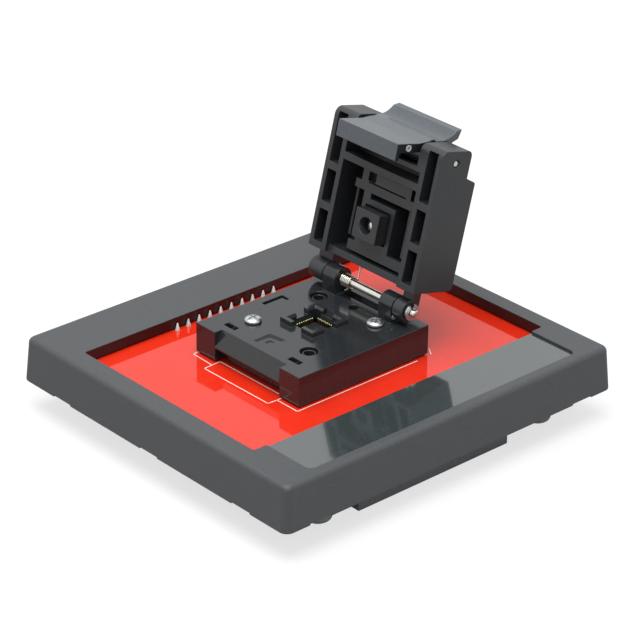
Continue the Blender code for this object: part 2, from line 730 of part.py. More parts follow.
mark = prism([
    (mark_x, mark_y), (mark_end, mark_y), (mark_end, mark_y - MARK_RETURN),
    (mark_end + MARK_WIDTH, mark_y - MARK_RETURN),
    (mark_end + MARK_WIDTH, mark_y + MARK_WIDTH), (mark_x, mark_y + MARK_WIDTH),
], BASE_TOP - MARK_DEPTH, BASE_TOP + CUT_EXTRA)
base = cut(base, nest, contact_cavity, ramp, hook_recess, hinge_bore, stop_bore,
           screw_holes, round_holes, slots, trough, mark)
finished(base, "socket_base", (0.035, 0.037, 0.040), 0.3)

# Package seat: the floor between the contact rows, standing on the board
seat_half = SEAT_SIZE / 2
seat_top = BASE_TOP - SEAT_DROP
seat = lofted([
    (rectangle(PACKAGE_X - seat_half - SEAT_FLANGE, PACKAGE_X + seat_half + SEAT_FLANGE,
               BASE_Y - seat_half - SEAT_FLANGE, BASE_Y + seat_half + SEAT_FLANGE), BASE_UNDER),
    (rectangle(PACKAGE_X - seat_half - SEAT_FLANGE, PACKAGE_X + seat_half + SEAT_FLANGE,
               BASE_Y - seat_half - SEAT_FLANGE, BASE_Y + seat_half + SEAT_FLANGE),
     BASE_UNDER + SEAT_FLANGE),
    (rectangle(PACKAGE_X - seat_half, PACKAGE_X + seat_half,
               BASE_Y - seat_half, BASE_Y + seat_half), BASE_UNDER + SEAT_FLANGE),
    (rectangle(PACKAGE_X - seat_half, PACKAGE_X + seat_half,
               BASE_Y - seat_half, BASE_Y + seat_half), seat_top),
])
finished(seat, "package_seat", (0.03, 0.03, 0.03), 0.5)

# Contact rows: fingers on a common bar, bent in under the nest's roof and up to the package
tip_out = inner - CONTACT_TIP_INSET
tip_in = tip_out - CONTACT_THICKNESS
stem_out = cavity_half - CONTACT_BAR / 2
stem_in = stem_out - CONTACT_THICKNESS
tip_top = BASE_TOP - CONTACT_TIP_DROP
elbow = BASE_TOP - NEST_ROOF - 2 * CONTACT_THICKNESS
finger_outline = [
    (stem_out, BASE_UNDER + CONTACT_BAR / 2), (stem_out, elbow - CONTACT_BAR),
    (tip_out, elbow), (tip_out, tip_top), (tip_in, tip_top),
    (tip_in, elbow - CONTACT_THICKNESS), (stem_in, elbow - CONTACT_BAR - CONTACT_THICKNESS),
    (stem_in, BASE_UNDER + CONTACT_BAR / 2)]
for row_name, turn in (("hinge", 0), ("rear", 90), ("latch", 180), ("front", 270)):
    fingers = []
    for i in range(CONTACT_COUNT):
        y = (i - (CONTACT_COUNT - 1) / 2) * CONTACT_PITCH
        fingers.append(prism(finger_outline, y - CONTACT_WIDTH / 2, y + CONTACT_WIDTH / 2, "Y"))
    bar_half = CONTACT_COUNT * CONTACT_PITCH / 2
    bar = box(cavity_half - CONTACT_BAR - FIT_GAP, cavity_half - SEAT_GAP, -bar_half, bar_half,
              BASE_UNDER, BASE_UNDER + CONTACT_BAR)
    row = joined(bar, together(fingers))
    row.data.transform(Matrix.Rotation(math.radians(turn), 4, "Z"))
    row.data.transform(Matrix.Translation((PACKAGE_X, BASE_Y, 0)))
    finished(row, "contact_row_" + row_name, GOLD, 0.3, 1.0)

# Screws through the base and the board, with nuts under the board
for side_name, place in screw_places.items():
    seat_level = BASE_TOP + FIT_GAP
    nut_top = BOARD_UNDER - SEAT_GAP
    profile = [(SCREW_SHANK_RADIUS, nut_top - NUT_HEIGHT - SCREW_TAIL), (SCREW_SHANK_RADIUS, seat_level)]
    for angle in (0, 25, 50, 75):
        profile.append((SCREW_HEAD_RADIUS * math.cos(math.radians(angle)),
                        seat_level + SCREW_HEAD_HEIGHT * (0.25 + 0.75 * math.sin(math.radians(angle)))))
    profile.insert(2, (SCREW_HEAD_RADIUS, seat_level))
    screw = turned(place, profile, 20)
    x, y = place
    top = seat_level + SCREW_HEAD_HEIGHT
    reach = SCREW_HEAD_RADIUS * 0.7
    cross = joined(
        box(x - reach, x + reach, y - SCREW_SLOT_WIDTH / 2, y + SCREW_SLOT_WIDTH / 2,
            top - SCREW_SLOT_DEPTH, top + CUT_EXTRA),
        box(x - SCREW_SLOT_WIDTH / 2, x + SCREW_SLOT_WIDTH / 2, y - reach, y + reach,
            top - SCREW_SLOT_DEPTH, top + CUT_EXTRA))
    screw = cut(screw, cross)
    finished(screw, "socket_screw_" + side_name, STEEL, 0.25, 1.0)
    nut = prism(circle(place, NUT_WIDTH / 2 / math.cos(math.radians(30)), 6), nut_top - NUT_HEIGHT, nut_top)
    nut = cut(nut, turned(place, [(SCREW_SHANK_RADIUS + FIT_GAP, nut_top - NUT_HEIGHT - CUT_EXTRA),
                                  (SCREW_SHANK_RADIUS + FIT_GAP, nut_top + CUT_EXTRA)], 12))
    finished(nut, "socket_nut_" + side_name, STEEL, 0.35, 1.0)

# Hinge pin with a head at the rear and a clip in a groove at the front
clip_rear = pin_end_front - SEAT_GAP
clip_front = clip_rear - CLIP_THICKNESS
hinge_axis = (HINGE_X, HINGE_Z)
hinge_pin = turned(hinge_axis, [
    (HINGE_PIN_RADIUS - FIT_GAP, clip_front - PIN_NOSE), (HINGE_PIN_RADIUS, clip_front - PIN_NOSE + FIT_GAP),
    (HINGE_PIN_RADIUS, clip_front - FIT_GAP), (CLIP_GROOVE_RADIUS, clip_front - FIT_GAP),
    (CLIP_GROOVE_RADIUS, clip_rear + FIT_GAP), (HINGE_PIN_RADIUS, clip_rear + FIT_GAP),
    (HINGE_PIN_RADIUS, pin_end_rear + FIT_GAP), (PIN_HEAD_RADIUS, pin_end_rear + FIT_GAP),
    (PIN_HEAD_RADIUS, pin_end_rear + FIT_GAP + PIN_HEAD_LENGTH),
], 20, "Y")
finished(hinge_pin, "hinge_pin", STEEL, 0.2, 1.0)
clip = prism(circle(hinge_axis, CLIP_RADIUS, 20), clip_front, clip_rear, "Y")
clip_bore = prism(circle(hinge_axis, CLIP_GROOVE_RADIUS + HINGE_PLAY, 16),
                  clip_front - CUT_EXTRA, clip_rear + CUT_EXTRA, "Y")
clip_mouth = box(HINGE_X - CLIP_MOUTH / 2, HINGE_X + CLIP_MOUTH / 2,
                 clip_front - CUT_EXTRA, clip_rear + CUT_EXTRA,
                 HINGE_Z, HINGE_Z + 2 * CLIP_RADIUS)
clip = cut(clip, clip_bore, clip_mouth)
finished(clip, "hinge_clip", STEEL, 0.25, 1.0)
stop_pin = prism(circle(stop_centre, STOP_PIN_RADIUS, 12),
                 BASE_Y - EAR_OUTER - FIT_GAP / 2,
                 BASE_Y - EAR_INNER - 2 * SEAT_GAP, "Y")
finished(stop_pin, "stop_pin", STEEL, 0.3, 1.0)

# Torsion spring: wound from a leg on the base at the rear to a leg under the lid's lower edge
lean = math.radians(OPEN_ANGLE)
along = Vector((-math.cos(lean), 0, math.sin(lean)))
coil_rear = BASE_Y + EAR_INNER - SPRING_WIRE - FIT_GAP
coil = helix(hinge_axis, SPRING_RADIUS, coil_rear, -SPRING_PITCH,
             SPRING_TURNS - (OPEN_ANGLE - 90) / 360, 0)
leg_root = Vector(coil[-1])
leg_length = LID_REACH - SPRING_LEG_GAP
upper_leg = [tuple(leg_root + along * leg_length * k / 3) for k in (1, 2, 3)]
base_level = BASE_TOP + SEAT_GAP + SPRING_WIRE
lower_leg = [(HINGE_X, coil_rear, base_level), (HINGE_X + SPRING_RADIUS, coil_rear, base_level)]
spring = tube(lower_leg + coil + upper_leg, SPRING_WIRE)
finished(spring, "torsion_spring", STEEL, 0.25, 1.0)

# Lid: drawn closed about the hinge axis, x towards the base's hinge side, z up, then turned open
lid_pivot = pivot("lid_pivot", (HINGE_X, BASE_Y, HINGE_Z), OPEN_ANGLE)
LATCH_INNER = HINGE_X - BASE_LATCH_FACE - LID_REACH + LATCH_CLEARANCE
PIVOT_U = LATCH_INNER - LATCH_PIVOT_SET
LID_LENGTH = PIVOT_U + LID_END
LID_HALF = BASE_WIDTH / 2
BLOCK_U = HINGE_OFFSET - LID_REACH
NOTCH_U = PIVOT_U - LATCH_BOSS_RADIUS - LATCH_BOSS_GAP
BAR_U = BLOCK_U + SCREW_X + SCREW_HEAD_RADIUS + FIT_GAP
WELL_HALF = LID_HALF - LID_RIM - POCKET_WIDTH - LID_RIB


def on_lid(u, v):
    """Closed-lid coordinates of a point u along the lid and v above its inner face."""
    return (-(LID_REACH + u), v - LID_FACE_DROP)


def lid_box(u0, u1, y0, y1, v0, v1):
    """Box between limits along the lid, across it and above its inner face."""
    x1, z0 = on_lid(u0, v0)
    x0, z1 = on_lid(u1, v1)
    return box(x0, x1, y0, y1, z0, z1)


def lid_prism(outline, y0, y1):
    """Outline in (u, v) drawn out across the lid."""
    return prism([on_lid(u, v) for u, v in outline], y0, y1, "Y")


def lid_round(u, v, radius, y0, y1, count=12):
    """Round solid across the lid."""
    return prism(circle(on_lid(u, v), radius, count), y0, y1, "Y")


step_u = LID_LENGTH - LID_NOSE_LENGTH
lid_outline = rounded([
    (0, 0), (LID_LENGTH, 0), (LID_LENGTH, LID_NOSE_THICKNESS), (step_u, LID_NOSE_THICKNESS),
    (step_u - LID_STEP_RUN, LID_THICKNESS), (0, LID_THICKNESS)],
    [0, LID_NOSE_RADIUS, LID_CORNER, 0, LID_CORNER / 2, LID_CORNER])
lid = lid_prism(lid_outline, -LID_HALF, LID_HALF)
arm_end = -(LID_REACH + LID_RIM)
arm = arc((0, 0), HINGE_RADIUS, -180, 90, 18) + [(arm_end, HINGE_RADIUS), (arm_end, 0)]
knuckle = EAR_OUTER + KNUCKLE_GAP
front_arm = prism(arm, -knuckle - FRONT_KNUCKLE_WIDTH, -knuckle, "Y")
rear_arm = prism(arm, knuckle, knuckle + REAR_KNUCKLE_WIDTH, "Y")

pockets = []
for side in (-1, 1):
    y_out = side * (LID_HALF - LID_RIM)
    y_in = side * (LID_HALF - LID_RIM - POCKET_WIDTH)
    starts = [POCKET_START + i * (POCKET_LENGTH + POCKET_WEB) for i in range(3)]
    ends = [starts[0] + POCKET_LENGTH, starts[1] + POCKET_LENGTH, LID_LENGTH - POCKET_END]
    for u0, u1 in zip(starts, ends):
        pockets.append(lid_box(u0, u1, min(y_in, y_out), max(y_in, y_out), -CUT_EXTRA, POCKET_DEPTH))
well = lid_box(WELL_START, BAR_U, -WELL_HALF, WELL_HALF, -CUT_EXTRA, WELL_DEPTH)
edge_relief = lid_box(-CUT_EXTRA, WELL_START + FIT_GAP, -WELL_HALF, WELL_HALF, -CUT_EXTRA, SIDE_BAR_RISE)
bar_recess = lid_box(BAR_U + CROSS_BAR_WIDTH, NOTCH_U - LATCH_BOSS_GAP, -WELL_HALF, WELL_HALF,
                     -CUT_EXTRA, RECESS_BAR_DEPTH)
nose_bar_top = LATCH_PIVOT_RISE - LATCH_BOSS_RADIUS - 2 * LATCH_BOSS_GAP
nose_bar_end = NOTCH_U + LID_END / 3
latch_notch = lid_prism([
    (NOTCH_U, LID_THICKNESS + CUT_EXTRA), (NOTCH_U, nose_bar_top),
    (nose_bar_end, nose_bar_top), (nose_bar_end, -CUT_EXTRA),
    (LID_LENGTH + CUT_EXTRA, -CUT_EXTRA), (LID_LENGTH + CUT_EXTRA, LID_THICKNESS + CUT_EXTRA),
], -LATCH_ROOM_HALF, LATCH_ROOM_HALF)
latch_bore = lid_round(PIVOT_U, LATCH_PIVOT_RISE, LATCH_PIN_RADIUS + LATCH_PIN_PLAY,
                       -LID_HALF - CUT_EXTRA, LID_HALF + CUT_EXTRA, 12)
latch_sockets = together([
    lid_round(PIVOT_U, LATCH_PIVOT_RISE, LATCH_SOCKET_RADIUS,
              side * LID_HALF - LATCH_PIN_SINK, side * LID_HALF + LATCH_PIN_SINK, 14)
    for side in (-1, 1)])
pin_bore = prism(circle((0, 0), HINGE_PIN_RADIUS + HINGE_PLAY, 20),
                 -knuckle - FRONT_KNUCKLE_WIDTH - CUT_EXTRA, knuckle + REAR_KNUCKLE_WIDTH + CUT_EXTRA, "Y")
screw_bore = turned((-HINGE_OFFSET, 0), [
    (BLOCK_SCREW_RADIUS + FIT_GAP, WELL_DEPTH - LID_FACE_DROP - CUT_EXTRA),
    (BLOCK_SCREW_RADIUS + FIT_GAP, WELL_DEPTH - LID_FACE_DROP + BLOCK_SCREW_ENGAGEMENT + FIT_GAP)], 12)
lid = joined(lid, together([front_arm, rear_arm]))
lid = cut(lid, together(pockets), well, edge_relief, bar_recess, latch_notch,
          latch_bore, latch_sockets, pin_bore, screw_bore)
rib_half = INNER_RIB_WIDTH / 2
rib_y = (HOLDER_WIDTH / 2 + WELL_HALF) / 2
ribs = together([
    lid_box(LOWER_BAND_END + SEAT_GAP, BAND_START - SEAT_GAP,
            side * rib_y - rib_half, side * rib_y + rib_half, INNER_RIB_RISE, WELL_DEPTH + CUT_EXTRA)
    for side in (-1, 1)])
lid = joined(lid, ribs)
finished(lid, "lid_frame", (0.045, 0.047, 0.050), 0.4, 0.0, lid_pivot)

# Pusher holder: a plate in the lid's well, on a square collar that stands on the well's floor
holder_top = HOLDER_RISE + HOLDER_THICKNESS
right_edge = -WELL_HALF + HOLDER_SIDE_GAP
holder_half = HOLDER_WIDTH / 2
upper_start = BAND_END + HOLDER_SIDE_GAP
holder = joined(
    lid_box(HOLDER_START, HOLDER_END, -holder_half, holder_half, HOLDER_RISE, holder_top),
    lid_box(HOLDER_START, LOWER_BAND_END, right_edge, LOWER_BAND_LEFT, HOLDER_RISE, holder_top),
    lid_box(HOLDER_END - FIT_GAP, BAND_START + FIT_GAP, holder_half - BRIDGE_WIDTH, holder_half,
            HOLDER_RISE, holder_top),
    lid_box(BAND_START, BAND_END, right_edge, BAND_LEFT, HOLDER_RISE, holder_top),
    lid_box(BAND_END - FIT_GAP, upper_start + FIT_GAP, UPPER_LEFT - BRIDGE_WIDTH, UPPER_LEFT,
            HOLDER_RISE, holder_top),
    lid_box(BAND_END - FIT_GAP, upper_start + FIT_GAP, right_edge, -BLOCK_WIDTH, HOLDER_RISE, holder_top),
    lid_box(upper_start, UPPER_END, right_edge, UPPER_LEFT, HOLDER_RISE, holder_top))
flange_u = BLOCK_LENGTH / 2 + BLOCK_FLANGE_MARGIN
flange_y = BLOCK_WIDTH / 2 + BLOCK_FLANGE_MARGIN
collar = cut(
    lid_box(HOLDER_START, HOLDER_END, -holder_half, holder_half, holder_top - FIT_GAP, WELL_DEPTH - SEAT_GAP),
    lid_box(BLOCK_U - flange_u - SEAT_GAP, BLOCK_U + flange_u + SEAT_GAP,
            -flange_y - SEAT_GAP, flange_y + SEAT_GAP,
            HOLDER_RISE, WELL_DEPTH + CUT_EXTRA))
holder = joined(holder, collar)
upper_slot = UPPER_LEFT - UPPER_SLOT_INSET
corner_slot = right_edge + CORNER_SLOT_INSET
holder = cut(
    holder,
    lid_box(BLOCK_U - BLOCK_LENGTH / 2 - SEAT_GAP, BLOCK_U + BLOCK_LENGTH / 2 + SEAT_GAP,
            -BLOCK_WIDTH / 2 - SEAT_GAP, BLOCK_WIDTH / 2 + SEAT_GAP,
            HOLDER_RISE - CUT_EXTRA, holder_top + CUT_EXTRA),
    lid_box(upper_start + FIT_GAP, UPPER_END - 3 * FIT_GAP, upper_slot - UPPER_SLOT_WIDTH, upper_slot,
            HOLDER_RISE - CUT_EXTRA, holder_top + CUT_EXTRA),
    lid_box(BAND_END + FIT_GAP, UPPER_END - 2 * FIT_GAP, corner_slot, corner_slot + CORNER_SLOT_WIDTH,
            HOLDER_RISE - CUT_EXTRA, holder_top + CUT_EXTRA))
finished(holder, "pusher_holder", (0.05, 0.052, 0.055), 0.4, 0.0, lid_pivot)

# Pressure block: slides in the holder, kept by its flange and the screw's head
block_top = holder_top + SEAT_GAP
block = joined(
    lid_box(BLOCK_U - BLOCK_LENGTH / 2, BLOCK_U + BLOCK_LENGTH / 2, -BLOCK_WIDTH / 2, BLOCK_WIDTH / 2,
            -BLOCK_FACE_DROP, block_top + FIT_GAP),
    lid_box(BLOCK_U - flange_u, BLOCK_U + flange_u, -flange_y, flange_y,
            block_top, block_top + BLOCK_FLANGE))
face_z = -BLOCK_FACE_DROP - LID_FACE_DROP
block = cut(block, turned((-HINGE_OFFSET, 0), [
    (BLOCK_HOLE_RADIUS, face_z - CUT_EXTRA), (BLOCK_HOLE_RADIUS, face_z + BLOCK_HOLE_DEPTH),
    (BLOCK_SCREW_RADIUS + FIT_GAP, face_z + BLOCK_HOLE_DEPTH),
    (BLOCK_SCREW_RADIUS + FIT_GAP, face_z + BLOCK_HOLE_DEPTH + WELL_DEPTH)], 20))
finished(block, "pressure_block", (0.06, 0.062, 0.066), 0.35, 0.0, lid_pivot)
head_seat = face_z + BLOCK_HOLE_DEPTH - FIT_GAP
block_screw = turned((-HINGE_OFFSET, 0), [
    (BLOCK_SCREW_HEAD_RADIUS * 0.6, head_seat - BLOCK_SCREW_HEAD_HEIGHT),
    (BLOCK_SCREW_HEAD_RADIUS * 0.9, head_seat - BLOCK_SCREW_HEAD_HEIGHT * 0.8),
    (BLOCK_SCREW_HEAD_RADIUS, head_seat - BLOCK_SCREW_HEAD_HEIGHT * 0.4),
    (BLOCK_SCREW_HEAD_RADIUS, head_seat), (BLOCK_SCREW_RADIUS, head_seat),
    (BLOCK_SCREW_RADIUS, WELL_DEPTH - LID_FACE_DROP + BLOCK_SCREW_ENGAGEMENT)], 16)
finished(block_screw, "block_screw", STEEL, 0.25, 1.0, lid_pivot)

# Pressure spring: round the screw, on the block's flange, short of the well's floor by the travel
spring_low = block_top + BLOCK_FLANGE + BLOCK_SPRING_WIRE + FIT_GAP - LID_FACE_DROP
spring_high = WELL_DEPTH - LID_FACE_DROP - BLOCK_SPRING_WIRE - FIT_GAP - BLOCK_TRAVEL
turns = helix((0, 0), BLOCK_SPRING_RADIUS, spring_low, (spring_high - spring_low) / BLOCK_SPRING_COILS,
              BLOCK_SPRING_COILS, 0)
pressure_spring = tube([(x - HINGE_OFFSET, z, y) for x, y, z in turns], BLOCK_SPRING_WIRE)
finished(pressure_spring, "pressure_spring", STEEL, 0.3, 1.0, lid_pivot)

# Latch pin, fixed in the lid's two cheeks
latch_pin = lid_round(PIVOT_U, LATCH_PIVOT_RISE, LATCH_PIN_RADIUS,
                      -LID_HALF + LATCH_PIN_SINK, LID_HALF - LATCH_PIN_SINK, 12)
finished(latch_pin, "latch_pin", STEEL, 0.25, 1.0, lid_pivot)

# Latch: drawn about its own pivot, u along the lid and v up from it
pivot_x, pivot_z = on_lid(PIVOT_U, LATCH_PIVOT_RISE)
latch_pivot = pivot("latch_pivot", (pivot_x, 0, pivot_z), 0.0, lid_pivot)


def on_latch(points):
    """Points in (u, v) about the latch's pivot, as x and z."""
    return [(-u, v) for u, v in points]


wing_half = LATCH_ROOM_HALF - LATCH_SIDE_GAP
latch_half = wing_half - WING_OVERHANG
plate_in = LATCH_PIVOT_SET
plate_out = plate_in + LATCH_PLATE
lip_low = -LATCH_LIP_DROP
lip_top = lip_low + LATCH_LIP_THICKNESS
lip_tip = plate_in - LATCH_LIP_REACH
boss = LATCH_BOSS_RADIUS
out_angle = math.degrees(math.asin(plate_out / boss)) - 90
in_angle = 270 + math.degrees(math.asin(plate_in / boss))
latch_outline = [(plate_out, lip_low)] + arc((0, 0), boss, out_angle, 70, 8)
latch_outline += arc((0, 0), boss, 80, in_angle, 14)
latch_outline += [(plate_in, lip_top), (lip_tip + LIP_BEVEL_RUN, lip_top),
                  (lip_tip, lip_top - LIP_BEVEL_DROP), (lip_tip, lip_low)]
latch = prism(on_latch(latch_outline), -latch_half, latch_half, "Y")
hollow_centre = (boss + WING_HOLLOW_RADIUS, WING_FOOT_RISE)
wing_outline = [(boss / 2, 0), (boss, 0)]
wing_outline += arc(hollow_centre, WING_HOLLOW_RADIUS, 180, 180 - WING_HOLLOW_ANGLE, 6)
wing_outline += WING_TIP + WING_BACK
wing = prism(on_latch(wing_outline), -wing_half, wing_half, "Y")
latch = joined(latch, wing)
slot_y = latch_half - LATCH_SLOT_INSET
slot_low = slot_y - LATCH_SLOT_WIDTH / 2
slot_high = slot_y + LATCH_SLOT_WIDTH / 2
slot_outline = [
    (-2 * boss, -1.05 * boss), (boss - LATCH_SKIN, -1.05 * boss),
    (boss - LATCH_SKIN, 1.05 * boss), (-2 * boss, 1.05 * boss)]
latch = cut(
    latch,
    prism(circle((0, 0), LATCH_PIN_RADIUS + LATCH_PIN_PLAY, 12), -LID_HALF, LID_HALF, "Y"),
    prism(on_latch(slot_outline), slot_low, slot_high, "Y"),
    prism(circle((-(plate_in + plate_out) / 2, -ROLL_PIN_DROP), ROLL_PIN_RADIUS + FIT_GAP, 12),
          -latch_half - CUT_EXTRA, -latch_half + ROLL_PIN_LENGTH + SEAT_GAP, "Y"))
finished(latch, "latch", (0.10, 0.11, 0.12), 0.35, 0.0, latch_pivot)
roll_pin = prism(circle((-(plate_in + plate_out) / 2, -ROLL_PIN_DROP), ROLL_PIN_RADIUS, 12),
                 -latch_half, -latch_half + ROLL_PIN_LENGTH, "Y")
finished(roll_pin, "latch_roll_pin", STEEL, 0.3, 1.0, latch_pivot)

# Latch spring: round the latch pin, one leg on the latch and one towards the lid
coil_length = LATCH_SPRING_PITCH * LATCH_SPRING_COILS
coil_low = slot_y - coil_length / 2
coil = helix((0, 0), LATCH_SPRING_RADIUS, coil_low, LATCH_SPRING_PITCH, LATCH_SPRING_COILS, 180, 10)
root = Vector(coil[0])
tail = Vector(coil[-1])
leg = LATCH_SPRING_RADIUS
path = [tuple(root + Vector((0, 0, leg * k / 2))) for k in (2, 1)] + coil
path += [tuple(tail + Vector((leg * k / 2, 0, 0))) for k in (1, 2)]
latch_spring = tube(path, LATCH_SPRING_WIRE)
finished(latch_spring, "latch_spring", STEEL, 0.3, 1.0, latch_pivot)
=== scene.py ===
import math

import bmesh
import bpy
from mathutils import Matrix, Vector


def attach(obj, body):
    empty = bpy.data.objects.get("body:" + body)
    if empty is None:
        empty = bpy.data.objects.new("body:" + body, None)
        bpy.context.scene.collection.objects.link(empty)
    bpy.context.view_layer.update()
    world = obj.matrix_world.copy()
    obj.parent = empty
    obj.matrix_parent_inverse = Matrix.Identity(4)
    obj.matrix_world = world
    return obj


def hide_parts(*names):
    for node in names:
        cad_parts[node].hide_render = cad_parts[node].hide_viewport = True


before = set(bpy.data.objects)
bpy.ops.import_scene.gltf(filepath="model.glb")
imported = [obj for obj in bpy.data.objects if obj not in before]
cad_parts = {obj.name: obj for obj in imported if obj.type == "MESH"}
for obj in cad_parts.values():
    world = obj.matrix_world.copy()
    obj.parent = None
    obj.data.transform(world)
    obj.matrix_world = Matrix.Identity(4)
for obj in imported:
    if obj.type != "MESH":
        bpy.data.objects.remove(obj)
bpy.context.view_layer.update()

# Camera
# A long lens half a metre away looks down on the module's left front corner, so the frame's edges stay
# nearly parallel. It aims at the level of the frame's top and is rolled by less than a degree.
LENS = 156.8
SENSOR = 36
NEAREST = 0.01
VIEW_TURN = -42.19
VIEW_HEIGHT = 27.115
VIEW_ROLL = 0.717
VIEW_TARGET = Vector((0.00581, 0.005865, 0.01424))
VIEW_DISTANCE = 0.5007

turn = math.radians(VIEW_TURN)
rise = math.radians(VIEW_HEIGHT)
backward = Vector((math.sin(turn) * math.cos(rise), -math.cos(turn) * math.cos(rise), math.sin(rise)))
camera_data = bpy.data.cameras.new("view")
camera_data.lens = LENS
camera_data.sensor_width = SENSOR
camera_data.clip_start = NEAREST
camera = bpy.data.objects.new("view", camera_data)
camera.location = VIEW_TARGET + backward * VIEW_DISTANCE
camera.rotation_euler = (backward.to_track_quat("Z", "Y").to_matrix()
                         @ Matrix.Rotation(math.radians(VIEW_ROLL), 3, "Z")).to_euler()
bpy.context.scene.collection.objects.link(camera)
bpy.context.scene.camera = camera
bpy.context.scene.view_settings.view_transform = "Standard"

# White tent
# The module stands in a tent of white cloth: soft light from all round, strongest from above. The eye and
# gloss see the cloth as plain white, and what it sheds on dull surfaces fades towards the floor.
TENT_LOW = (0.22, 0.225, 0.23, 1)
TENT_HIGH = (0.82, 0.82, 0.82, 1)
TENT_HIGH_FROM = 0.9
WHITE = (1, 1, 1, 1)
LAMP_SIZE = (0.7, 0.5)
LAMP_ENERGY = 5.5
LAMP_PLACE = Vector((-0.15, -0.05, 0.75))
LAMP_AIM = Vector((0, 0, 0.02))


def add(tree, kind, settings=None, links=None):
    """A node of a kind. Settings name its own values or its inputs; links feed inputs by name or number."""
    made = tree.nodes.new(kind)
    for name, value in (settings or {}).items():
        if isinstance(name, str) and hasattr(made, name):
            setattr(made, name, value)
        else:
            made.inputs[name].default_value = value
    for name, source in (links or {}).items():
        tree.links.new(source, made.inputs[name])
    return made


world = bpy.data.worlds.new("white_tent")
bpy.context.scene.world = world
world.use_nodes = True
tree = world.node_tree
tree.nodes.clear()
direction = add(tree, "ShaderNodeTexCoord")
height = add(tree, "ShaderNodeSeparateXYZ", None, {"Vector": direction.outputs["Generated"]})
fade = add(tree, "ShaderNodeValToRGB", None, {"Fac": height.outputs["Z"]})
low, high = fade.color_ramp.elements
low.position = 0.0
low.color = TENT_LOW
high.position = TENT_HIGH_FROM
high.color = TENT_HIGH
cloth = add(tree, "ShaderNodeBackground", None, {"Color": fade.outputs["Color"]})
white = add(tree, "ShaderNodeBackground", {"Color": WHITE, "Strength": 1.0})
ray = add(tree, "ShaderNodeLightPath")
seen = add(tree, "ShaderNodeMath", {"operation": "MAXIMUM"},
           {0: ray.outputs["Is Camera Ray"], 1: ray.outputs["Is Glossy Ray"]})
seen = add(tree, "ShaderNodeMath", {"operation": "MAXIMUM"},
           {0: seen.outputs[0], 1: ray.outputs["Is Transmission Ray"]})
tent = add(tree, "ShaderNodeMixShader", None,
           {"Fac": seen.outputs[0], 1: cloth.outputs[0], 2: white.outputs[0]})
add(tree, "ShaderNodeOutputWorld", None, {"Surface": tent.outputs[0]})

lamp_data = bpy.data.lights.new("overhead_box", "AREA")
lamp_data.shape = "RECTANGLE"
lamp_data.size, lamp_data.size_y = LAMP_SIZE
lamp_data.energy = LAMP_ENERGY
lamp = bpy.data.objects.new("overhead_box", lamp_data)
lamp.location = LAMP_PLACE
lamp.rotation_euler = (LAMP_PLACE - LAMP_AIM).to_track_quat("Z", "Y").to_euler()
bpy.context.scene.collection.objects.link(lamp)

# Light table
# A sheet of acrylic lit from below, which carries the module on the feet of its two headers.
# It glows white to the eye, keeps a pale shadow, and throws only half of the light back up.
TABLE_REACH = 3
TABLE_GLOW = 0.7
TABLE_PAPER = (0.95, 0.95, 0.95, 1)
TABLE_RETURN = (0.5, 0.5, 0.5, 1)

floor_mesh = bpy.data.meshes.new("light_table")
corners = [(x * TABLE_REACH, y * TABLE_REACH, 0) for x, y in ((-1, -1), (1, -1), (1, 1), (-1, 1))]
floor_mesh.from_pydata(corners, [], [(0, 1, 2, 3)])
floor = bpy.data.objects.new("light_table", floor_mesh)
bpy.context.scene.collection.objects.link(floor)
table = bpy.data.materials.new("lit_acrylic_table")
table.use_nodes = True
tree = table.node_tree
tree.nodes.clear()
paper = add(tree, "ShaderNodeBsdfDiffuse", {"Color": TABLE_PAPER})
glow = add(tree, "ShaderNodeEmission", {"Color": WHITE, "Strength": 1.0})
shown = add(tree, "ShaderNodeMixShader", {"Fac": TABLE_GLOW}, {1: paper.outputs[0], 2: glow.outputs[0]})
returned = add(tree, "ShaderNodeBsdfDiffuse", {"Color": TABLE_RETURN})
ray = add(tree, "ShaderNodeLightPath")
top = add(tree, "ShaderNodeMixShader", None,
          {"Fac": ray.outputs["Is Camera Ray"], 1: returned.outputs[0], 2: shown.outputs[0]})
add(tree, "ShaderNodeOutputMaterial", None, {"Surface": top.outputs[0]})
floor_mesh.materials.append(table)

# Housing frame
# One injection moulding in black ABS, whose fine spark-eroded texture scatters light to a dull grey.
# The skirt leans in towards the top, and a window and a label recess are cored out of the plate.
FRAME_LENGTH = 77.3
FRAME_WIDTH = 71.3
FRAME_LOW = 5.77
FRAME_TOP = 14.24
FRAME_LEAN = 0.69
FRAME_CORNER = 1.6
FRAME_EDGE = 0.9
FRAME_FOOT_EDGE = 0.12
FRAME_WALL = 1.8
PLATE_LOW = 12.14
HOLLOW_CORNER = 0.7
WINDOW = (-33.8, 34.2, -21.96, 23.49)
WINDOW_CORNER = 0.4
LABEL_RECESS = (-31.0, 31.6, -32.76, -21.96)
LABEL_RECESS_DEPTH = 0.7
LABEL_CORNER = 1.2
NOTCH_WIDTH = 4.7
NOTCH_DEPTH = 0.3
SIDE_NOTCHES = (-24.15, 0, 24.15)
END_NOTCHES = (-30.95, 30.95)
# How far a cutter runs past the face that it opens, and how near to each other two points are one.
OVERRUN = 1
WELD = 0.002
# How near a face's centre lies to the surface that it is picked from, and the cosines of a face that looks
# along an axis and of one that stands along it.
TOUCHING = 0.05
FACING = 0.9
STANDING = 0.5


def rectangle(x0, x1, y0, y1):
    """Outline of a rectangle."""
    return [(x0, y0), (x1, y0), (x1, y1), (x0, y1)]


